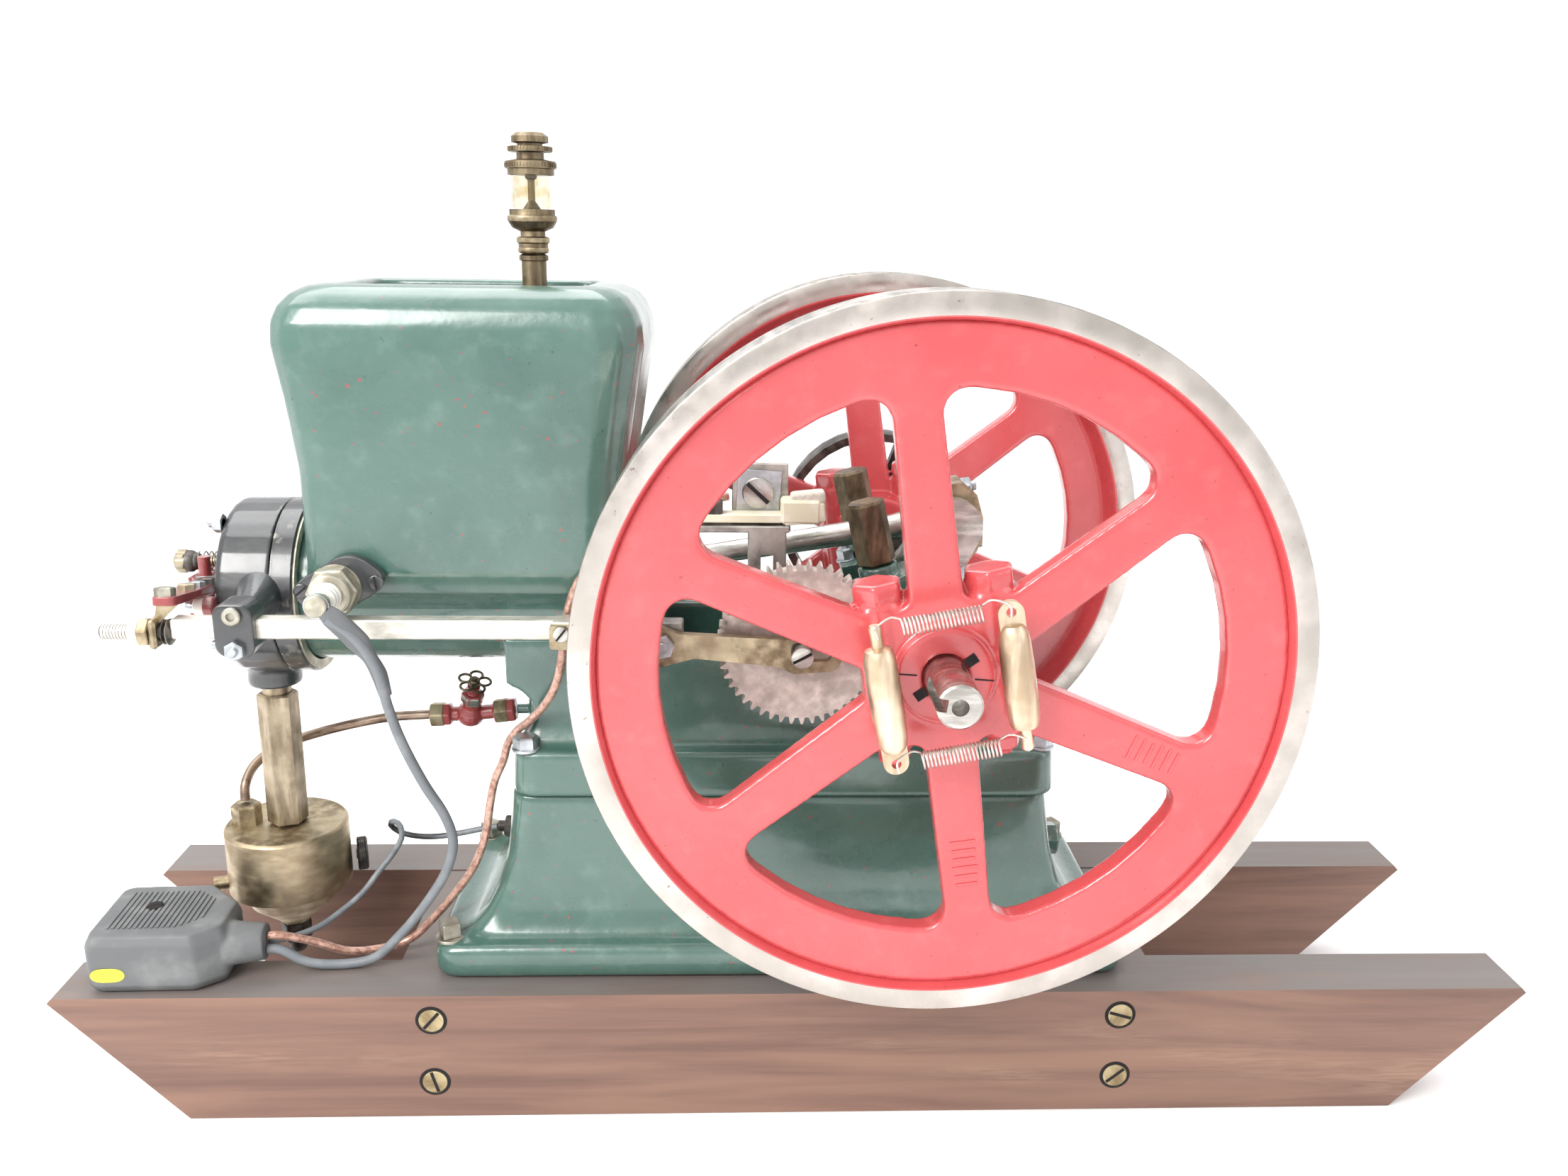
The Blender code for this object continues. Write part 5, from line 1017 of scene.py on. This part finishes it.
def rocker_plates():
    """Rocker arm: upper plate sloping down towards its pivot, the boss and the lower plate behind."""
    bm = bmesh.new()
    outline = filleted([(-169.3, -45.0), (-163.3, -45.0), (-163.3, -28.0), (-164.2, -18.0),
                        (-164.4, -7.6), (-172.6, -7.6), (-172.8, -20.0), (-169.8, -31.0)],
                       [1.8, 1.8, 3, 2, 3.5, 3.5, 3, 3], 6)
    near_y, near_z = ROCKER_NEAR
    slope = (shift((0, near_y, near_z)) @ spin(-ROCKER_SLOPE, "X")
             @ shift((0, -near_y, 0)))
    slab(bm, outline, -2.4, 0, slope, bevel=0.35)
    lathe(bm, [(2.1, 0), (3.6, 0), (3.6, 5.0), (2.1, 5.0)], along(ROCKER_PIN, (0, 0, 1)), 40)
    tip = -171.4
    outline = filleted([(-172.2, -14.0), (-164.6, -14.0), (-164.6, -7.0), (tip, -2.0), (tip, 13.0),
                        (tip - 4.2, 13.0), (tip - 4.8, -6.0)], [1.5, 1.5, 2, 2, 0.6, 1.5, 3], 6)
    slab(bm, outline, 146.4, 149.2, bevel=0.35)
    arm = piece("rocker_plates", bm, ["red_flat"], "rocker_arm", "red_enamel", angle=50)
    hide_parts("rocker_arm")


def rocker_top(y):
    """Height of the sloping plate's face."""
    return ROCKER_NEAR[1] - math.tan(ROCKER_SLOPE) * (y - ROCKER_NEAR[0])


def threaded(bm, outer, root, length, pitch, place):
    """Add a screw thread drawn as close rings."""
    profile = [(0, 0)]
    for k in range(int(length / pitch)):
        profile += [(root, pitch * k + 0.02), (outer, pitch * (k + 0.5))]
    profile += [(root, length), (0, length)]
    lathe(bm, profile, place, 20)


def guide_block():
    """Rounded block round the push rod, its boss flaring into the head, with a screw and a nut."""
    bm = bmesh.new()
    outline = filleted([(-5.1, -7.2), (5.1, -7.2), (5.1, 7.2), (-5.1, 7.2)], [3.6, 3.0, 3.6, 3.0], 8)
    face = Matrix(((1, 0, 0, -148.3), (0, 0, 1, -47.2), (0, 1, 0, 145.8), (0, 0, 0, 1)))
    slab(bm, outline, 0, 9.4, face, bevel=0.5)
    sweep_cone(bm, Vector((-148.8, -39.4, 147.2)), Vector((-149.6, -22.0, 148.6)), 4.3, 7.4)
    block = piece("guide_block", bm, ["black_chipped"], "frame", "black_enamel")
    soften(block, 0.32, 3)
    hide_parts("push_rod_guide")
    turned("guide_screw", [(0, 0), (2.4, 0), (2.4, 0.9), (2.1, 1.2), (1.2, 1.2), (1.1, 0.4), (0, 0.4)],
           along((-148.2, -47.2, 150.0), (0, -1, 0)), 32, "aged_zinc", "frame", "bright_steel")
    hex_bolt("guide_nut", (-148.1, -47.2, 140.9), (0, -1, 0), 4.6, 1.9, "zinc", turn=0.5, thread=0.8)


def sweep_cone(bm, start, end, first, last):
    """Add a cone that swells towards its far end."""
    length = (end - start).length
    profile = [(0, 0), (first, 0)]
    for k in range(1, 9):
        part = k / 8
        profile.append((first + (last - first) * part ** 2.2, length * part))
    profile.append((0, length))
    lathe(bm, profile, along(start, end - start), 32)


def link_details():
    """Fastenings on the push rod's right end and on the brass follower link."""
    plate("push_rod_end", box_outline(15.0, 7.6), -3.0, 2.6, shift((-59.5, ROD_Y, ROD_Z)), 0.5,
          "bar", "push_rod", "bright_steel")
    slotted_screw("push_rod_screw", (-64.3, ROD_Y - 5.9, ROD_Z), (0, -1, 0), 2.1, 0.7, "steel", "push_rod",
                  turn=0.9)
    slotted_screw("link_screw", (-54.8, ROD_Y - 5.9, ROD_Z + 0.2), (0, -1, 0), 2.1, 0.7, "brass",
                  "push_rod", turn=0.3,
                  slot="brass")
    plate("link_block", box_outline(8.0, 5.4), -4.2, 4.2, shift((-37.0, -41.8, 143.6)), 0.7,
          "grey", "push_rod", "grey_steel")
    hex_bolt("link_nut", (-38.2, -48.2, 142.6), (0, -1, 0), 5.6, 1.8, "zinc", "push_rod", thread=0.4,
             turn=0.2)
    slotted_screw("cam_stud_screw", (CAM_X, -50.4, CAM_Z - 0.6), (0, -1, 0), 2.9, 0.9, "steel", turn=0.5)


def breaker_details():
    """Clamp screw on its square washer, the fixed contact, the nylon block and its felt pad."""
    plate("breaker_plate", box_outline(12.0, 12.8), 0, 0.5,
          shift((-13.0, -16.9, 177.2)) @ spin(math.pi / 2, "X") @ spin(-0.06, "Z"),
                                                                      0.15, "zinc", "frame", "bright_steel")
    slotted_screw("breaker_screw", (-13.3, -17.4, 177.4), (0, -1, 0), 4.3, 1.3, "steel", turn=-0.75)
    plate("fixed_contact", box_outline(9.0, 6.0), -2.6, 2.8, shift((-27.4, -20.4, 173.2)), 0.8,
          "dark", "frame", "dark_iron")
    hex_bolt("contact_screw", (-11.4, -20.6, 169.2), (0, 0, -1), 3.4, 5.6, "dark", thread=2.4,
             slot="dark_iron")
    plate("wiper_block", box_outline(11.4, 6.6), 0, 5.2,
          shift((-0.2, -21.0, 170.0)) @ spin(-0.12, "Y"), 0.7, "cream",
          "breaker_arm", "nylon")
    felt = plate("wiper_felt", box_outline(9.6, 5.6), 0, 3.6,
                 shift((0.6, -21.0, 175.0)) @ spin(-0.1, "Y"), 1.2, "felt",
                 "breaker_arm", "nylon")
    soften(felt, 0.3, 3)


def crank_details():
    """Big-end studs and nuts, and the bearing-cap nuts."""
    c, s = math.cos(ROD_ANGLE), math.sin(ROD_ANGLE)
    gudgeon = Vector((PIN.x - ROD_LENGTH * c, 0, SHAFT_Z))
    along_rod, across_rod = Vector((c, 0, s)), Vector((-s, 0, c))
    for k, side in enumerate((-1, 1)):
        at = gudgeon + along_rod * (ROD_LENGTH + 5.0) + across_rod * (8.6 * side)
        hex_bolt(f"big_end_nut_{k + 1}", at, along_rod, 5.4, 2.8, "zinc", "connecting_rod", thread=1.4,
                 turn=0.3)
    number = 0
    for y in (-24.5, 24.5):
        for u in (-13.6, 13.6):
            number += 1
            hex_bolt(f"cap_nut_{number}", shaft_frame(u, 5.2, y), CAP_UP, 5.4, 3.4, "zinc", washer=3.6,
                     thread=2.4,
                     turn=0.4 * number)


# ---- base details -------------------------------------------------------------------
def base_details():
    """Bolts on the bed and foot, the earth stud, the drain nut and the skid screws."""
    number = 0
    for x in (-78.3, 68.6):
        for y in (-27.2, 27.2):
            number += 1
            hex_bolt(f"bed_bolt_{number}", (x, y if x < 0 else y * 0.92, BED_TOP), (0, 0, 1), 6.2, 3.4,
                     "zinc", washer=3.9,
                     turn=0.25 * number)
    number = 0
    for x in (-101.2, 88.6):
        for y in (-32.6, 32.6):
            number += 1
            bm = bmesh.new()
            lathe(bm, [(0, 0), (4.2, 0), (4.2, 0.6), (4.0, 0.8), (0, 0.8)], segments=32)
            slab(bm, box_outline(5.2, 5.2), 0.8, 5.4, bevel=0.6)
            piece(f"foot_bolt_{number}", bm, ["aged_zinc"], "frame", "bright_steel",
                  shift((x, y, FOOT_TOP)) @ spin(0.5 * number, "Z"))
    hex_bolt("drain_nut", (76.3, 0, 64.0), (1, 0, 0), 9.0, 5.0, "green", washer=5.6, turn=0.3,
             slot="green_enamel")
    hex_bolt("earth_nut", (-87.3, 4.0, 66.4), (-1, 0, 0.05), 6.4, 3.0, "dark", washer=4.0, thread=2.0,
             slot="dark_iron")
    number = 0
    for x, z in ((-104.5, 31.3), (-104.5, 11.4), (91.7, 31.3), (91.7, 11.4)):
        for side in (-1, 1):
            number += 1
            bm = bmesh.new()
            # counterbore: a near-black ring and disc laid on the skid face, painted shade round each screw
            # head instead of a recess
            lathe(bm, [(3.7, 0.0), (4.5, 0.0), (4.4, 0.08), (3.8, 0.08)], along((0, 0, 0), (0, 0, 1)), 36)
            lathe(bm, [(0, 0.02), (4.3, 0.02), (4.3, 0.06), (0, 0.06)], segments=36)
            place = along((x, side * SKID_FACE, z), (0, side, 0))
            piece(f"skid_counterbore_shade_{number}", bm, ["hole"], "frame", "stained_wood", place)
            slotted_screw(f"skid_screw_{number}", (x, side * SKID_FACE, z), (0, side, 0), 3.5, 0.35,
                          "brass_screw",
                          turn=0.35 + 0.5 * number, slot="brass", domed=0.2)


# ---- ignition details ---------------------------------------------------------------
def plug_details():
    """Flange and its screws, gasket ring, ribbed insulator, terminal and the lead's flattened sleeve."""
    for k, (dx, dz) in enumerate(((-9.4, -0.9), (10.2, 1.5))):
        slotted_screw(f"flange_screw_{k + 1}", (PLUG_X + dx, PLUG_SEAT, PLUG_Z + dz), (0, -1, 0), 2.0, 0.5,
                      "black",
                      turn=0.7 + k, slot="black_enamel")
    bm = bmesh.new()
    outline = filleted([(-14.6, -1.4), (-3.4, -9.9), (14.6, 1.4), (3.4, 9.9)], [4.0, 8.0, 4.0, 8.0], 8)
    face = Matrix(((1, 0, 0, PLUG_X + 0.4), (0, 0, 1, PLUG_SEAT), (0, 1, 0, PLUG_Z + 0.4), (0, 0, 0, 1)))
    slab(bm, outline, 0, 3.5, face, bevel=0.6)
    flange = piece("plug_flange", bm, ["black_chipped"], "frame", "black_enamel")
    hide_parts("spark_plug_flange")
    bm = bmesh.new()
    lathe(bm, [(4.6, 0), (6.4, 0), (6.5, 0.2), (6.4, 0.4), (4.6, 0.4)],
          along((PLUG_X, PLUG_SEAT, PLUG_Z), (0, -1, 0)), 40)
    lathe(bm, [(3.6, 0), (5.5, 0), (5.7, 0.5), (5.4, 1.6), (4.4, 2.2), (3.6, 2.2)],
          along((PLUG_X, -43.2, PLUG_Z), (0, -1, 0)), 48)
    piece("plug_gasket", bm, ["beige"], "frame", "brass")
    bm = bmesh.new()
    profile = [(0, 0)]
    for k in range(3):
        profile += [(3.7 - 0.15 * k, 0.2 + 1.7 * k), (3.7 - 0.15 * k, 1.2 + 1.7 * k),
                    (3.2 - 0.15 * k, 1.6 + 1.7 * k)]
    profile += [(2.7, 5.6), (2.5, 8.2), (0, 8.3)]
    lathe(bm, profile, along((PLUG_X, -45.7, PLUG_Z), (0, -1, 0)), 40)
    sleeve = piece("plug_insulator", bm, ["porcelain"], "frame", "porcelain")
    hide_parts("spark_plug_insulator")
    bm = bmesh.new()
    tip = Vector((PLUG_X + 0.7, -58.2, PLUG_Z + 0.6))
    neck = Vector((PLUG_X + 0.3, -52.4, PLUG_Z + 0.2))
    lathe(bm, [(0, 0), (2.4, 0), (2.4, 1.6), (2.9, 1.9), (2.9, 3.0), (1.9, 3.2), (1.9, 4.2), (2.7, 4.4),
               (2.75, 5.6),
               (2.4, 5.9), (0, 5.9)], along(neck, tip - neck), 40)
    piece("plug_terminal", bm, ["beige"], "frame", "brass")
    tab = bmesh.new()
    middle = Vector((PLUG_X + 0.6, -56.6, PLUG_Z + 0.4))
    toward = (Vector((-117.4, -56.4, 148.2)) - middle).normalized()
    side = toward.cross(Vector((0, 1, 0))).normalized()
    flat = shift(middle) @ Matrix((toward, side, toward.cross(side))).transposed().to_4x4()
    outline = [(x, y) for x, y in arc(3.3, 0.6, 2 * math.pi - 0.6, 20)] + [(5.0, -1.9), (5.0, 1.9)]
    pierced(tab, outline, [polygon(1.9, 20)], -0.35, 0.35, flat)
    piece("lead_terminal", tab, ["zinc"], "frame", "bright_steel")
    sleeve = bmesh.new()
    path = smooth_points([(-121.2, -57.0, 154.2), (-118.0, -56.4, 150.6), (-114.8, -54.4, 145.8),
                          (-112.6, -52.8, 141.2), (-110.9, -51.4, 136.4), (-109.8, -50.2, 129.8)], 0.7)[0]
    flat_sweep(sleeve, path, [(0.0, 2.2), (0.08, 2.9), (0.42, 3.0), (0.50, 2.4), (0.60, 1.9), (0.78, 2.1),
                              (1.0, 1.7)],
               [(0.0, 1.2), (0.42, 1.5), (0.60, 1.5), (0.78, 1.9), (1.0, 1.6)])
    piece("lead_sleeve", sleeve, ["sleeve"], "frame", "grey_lead", angle=60)


def between(table, part):
    """Value of a short table of (position, value) at `part`."""
    for (x0, v0), (x1, v1) in zip(table, table[1:]):
        if part <= x1:
            return v0 + (v1 - v0) * (part - x0) / (x1 - x0)
    return table[-1][1]


def flat_sweep(bm, points, widths, depths, sides=24):
    """Add an oval tube whose width and depth change along its length; its depth lies along Y."""
    rings = []
    last = len(points) - 1
    for k, point in enumerate(points):
        tangent = (points[min(k + 1, last)] - points[max(k - 1, 0)]).normalized()
        depth = (Vector((0, 1, 0)) - tangent * tangent.y).normalized()
        width = tangent.cross(depth)
        half, thick = between(widths, k / last), between(depths, k / last)
        rings.append([bm.verts.new(point + width * (half * math.cos(a)) + depth * (thick * math.sin(a)))
                      for a in (2 * math.pi * j / sides for j in range(sides))])
    for low, high in zip(rings, rings[1:]):
        for j in range(sides):
            bm.faces.new((low[j], low[(j + 1) % sides], high[(j + 1) % sides], high[j]))
    for ring in (rings[0], rings[-1]):
        bm.faces.new(ring)


# ---- fuel system details ------------------------------------------------------------
def fuel_details():
    """Open handwheel, gland nut, unions, bowl with its drain, needle and fuel line."""
    hub = VALVE + VALVE_UP * 12.3
    place = along(hub, VALVE_UP) @ spin(0.3, "Z")
    bm = bmesh.new()
    for k in range(5):
        turn = 2 * math.pi * k / 5
        centre = Vector((3.1 * math.cos(turn), 3.1 * math.sin(turn), 1.2))
        ring = [place @ (centre + Vector((1.85 * math.cos(a), 1.75 * math.sin(a), 0.0)))
                for a in (2 * math.pi * j / 22 for j in range(23))]
        sweep(bm, ring, 0.42, 8)
    lathe(bm, [(0, -0.2), (1.5, -0.2), (1.7, 0.3), (1.7, 2.0), (1.3, 2.4), (0, 2.4)], place, 20)
    lathe(bm, [(0, 2.3), (0.8, 2.3), (0.8, 3.0), (0, 3.1)], place, 16)
    wheel = piece("valve_handwheel", bm, ["dark_bronze"], "fuel_valve_wheel", "bronze")
    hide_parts("fuel_valve_wheel")
    plate("valve_gland", polygon(3.6, 6, 0.2), 0, 3.2, along(VALVE + VALVE_UP * 5.6, VALVE_UP), 0.35,
          "steel", "frame", "bright_steel")
    for name, start, step in (("left", VALVE - Vector((12.3, 0, 0.3)), Vector((6.2, 0, 0.2))),
                              ("right", VALVE + Vector((7.4, 0, 0.8)), Vector((6.4, 0, 0.7)))):
        bm = bmesh.new()
        length = step.length
        axis = along(start, step)
        slab(bm, polygon(4.0, 6, 0.3), 0.3, length * 0.72, axis, bevel=0.45)
        lathe(bm, [(0, length * 0.7), (2.9, length * 0.7), (2.9, length * 0.95), (2.5, length),
                   (0, length)], axis, 28)
        piece(f"valve_union_{name}", bm, ["brass_grey"], "frame", "brass")
    bm = bmesh.new()
    lathe(bm, [(17.5, 50.2), (18.05, 50.5), (18.1, 51.0), (18.05, 69.6), (17.6, 70.2), (17.2, 70.45),
               (17.2, 50.2)],
          shift((BOWL_X, 0, 0)), 96)
    lathe(bm, [(4.4, 37.6), (5.2, 38.4), (12.4, 44.6), (15.0, 49.4), (15.8, 50.3), (13.4, 50.3),
               (4.4, 38.6)],
          shift((BOWL_X, 0, 0)), 96)
    piece("bowl_skin", bm, ["bowl"], "frame", "brass", angle=22)
    bm = bmesh.new()
    slab(bm, polygon(4.6, 6, 0.2), 30.6, 36.6, shift((BOWL_X, 0, 0)), bevel=0.5)
    lathe(bm, [(0, 26.6), (2.4, 26.6), (2.6, 27.2), (2.6, 31.0), (0, 31.0)],
          shift((BOWL_X, 0, 0)), 24)
    piece("bowl_drain", bm, ["dark"], "frame", "dark_iron")
    bm = bmesh.new()
    profile = [(0, 0)]
    for k in range(9):
        profile += [(5.35, 0.25 + 0.32 * k), (5.05, 0.41 + 0.32 * k)]
    profile += [(4.6, 3.3), (0, 3.4)]
    outward = Vector((0.95, 0.31, 0.0)).normalized()
    lathe(bm, profile, along(Vector((BOWL_X + 17.4, 6.0, 56.0)) + outward * 1.2, outward), 40)
    piece("needle_knurl", bm, ["dark"], "mixer_needle", "dark_iron", angle=15)
    bm = bmesh.new()
    route = smooth_points([(-168.5, -1.0, 77.6), (-168.7, 0.6, 82.0), (-167.6, 5.0, 86.0),
                           (-164.4, 9.0, 88.8),
                           (-158.6, 11.0, 91.6), (-149.0, 11.6, 94.8), (-138.0, 11.4, 97.8),
                           (-126.0, 11.1, 100.2),
                           (-114.0, 11.0, 101.1)], 0.9)[0]
    sweep(bm, route, 1.45, 20)
    line = piece("fuel_line", bm, ["pipe"], "frame", "copper_pipe", angle=60)
    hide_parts("fuel_pipe")
    hex_bolt("elbow_bolt", (-79.8, 11.0, 120.0), (0, 0, 1), 5.8, 2.6, "dark", washer=4.0, slot="dark_iron")


# ---- oiler details ------------------------------------------------------------------
def oiler_details():
    """Hollow sight glass with its feed stem, and knurled rims."""
    place = shift((OILER_X, 0, 0))
    glass = turned("sight_glass", [(4.7, 252.2), (5.65, 252.2), (5.65, 260.7), (4.7, 260.7)], place, 56,
                   "glass", "frame", "glass")
    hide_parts("oiler_glass")
    turned("feed_stem", [(0, 251.8), (2.6, 251.8), (1.4, 253.6), (0.95, 254.2), (0.95, 259.6), (1.6, 260.2),
                         (1.6, 260.9), (0, 260.9)], place, 24, "bronze", "frame", "bronze")
    for name, radius, low, count, body in (("lower", 6.75, 262.9, 48, "frame"),
                                           ("upper", 5.75, 267.1, 40, "oiler_knob")):
        bm = bmesh.new()
        for k in range(count):
            turn = 2 * math.pi * k / count
            ridge = place @ spin(turn, "Z") @ shift((radius, 0, low))
            slab(bm, box_outline(0.5, 0.42), 0, 1.1, ridge, bevel=0.08)
        piece(f"knurl_{name}", bm, ["bronze"], body, "bronze")
    bm = bmesh.new()
    lathe(bm, [(3.6, 0), (4.1, 0.3), (4.25, 0.9), (4.1, 1.5), (3.6, 1.8)],
          place @ shift((0, 0, 240.4)), 40)
    lathe(bm, [(3.9, 0), (4.5, 0.4), (4.5, 1.6), (3.9, 2.0)], place @ shift((0, 0, 242.9)), 40)
    lathe(bm, [(5.9, 0), (6.6, 0.3), (6.75, 1.0), (6.6, 1.7), (5.9, 2.0)],
          place @ shift((0, 0, 248.6)), 40)
    piece("oiler_rings", bm, ["brass"], "frame", "brass")


# ---- mains plug ---------------------------------------------------------------------
def mains_plug():
    """Moulded plug body with a ribbed top, a near-black screw as painted shade of its screw recess, seam and
    a blank yellow label.
    """
    cast("mains_plug", "plug", 0.45, 6)
    turn = shift((-182.4, -28.2, 0)) @ spin(math.radians(3.0), "Z")
    bm = bmesh.new()
    for k in range(17):
        x = -12.6 + 1.5 * k
        half = 10.4 if x < 6 else 10.4 - (x - 6) * 0.9
        slab(bm, box_outline(0.8, 2 * half), -0.2, 0.45, turn @ shift((x, -1.0, PLUG_TOP)),
             bevel=0.2)
    piece("plug_ribs", bm, ["plug"], "frame", "grey_plastic")
    # the top screw is near-black all over: painted shade of the recess it sits in
    slotted_screw("plug_top_screw", (-186.4, -27.6, PLUG_TOP + 0.1), (0, 0, 1), 2.3, 0.6, "hole", turn=0.4,
                  slot="dark_iron")
    bm = bmesh.new()
    label = [(4.6 * math.cos(a) * abs(math.cos(a)) ** -0.35 if abs(math.cos(a)) > 1e-6 else 0.0,
              2.1 * math.sin(a)) for a in (2 * math.pi * k / 40 + 0.01 for k in range(40))]
    slab(bm, label, 0, 0.25, shift((-193.0, -45.6, 45.4)) @ spin(math.radians(3.0), "Z")
         @ spin(math.pi / 2, "X"), bevel=0.08)
    piece("plug_label", bm, ["label"], "frame", "grey_plastic")
    plate("plug_pin", box_outline(3.2, 2.0), -2.2, 2.2, shift((-201.6, -33.5, 46.0)), 0.4,
          "brass", "frame", "brass")
    bm = bmesh.new()
    for k in range(5):
        lathe(bm, [(5.2 - 0.1 * k, 0), (6.15 - 0.2 * k, 0.25), (6.15 - 0.2 * k, 0.85), (5.2 - 0.1 * k, 1.1)],
              along((-163.6 + 1.9 * k, -34.1 + 0.17 * k, 48.6), (11.2, 1.0, 0)), 40)
    piece("plug_boot_rings", bm, ["plug"], "frame", "grey_plastic")


camera()
make_materials()
leads()
studio()
dress_cad()
flywheels()
governor()
head_details()
link_details()
breaker_details()
crank_details()
base_details()
plug_details()
fuel_details()
oiler_details()
mains_plug()
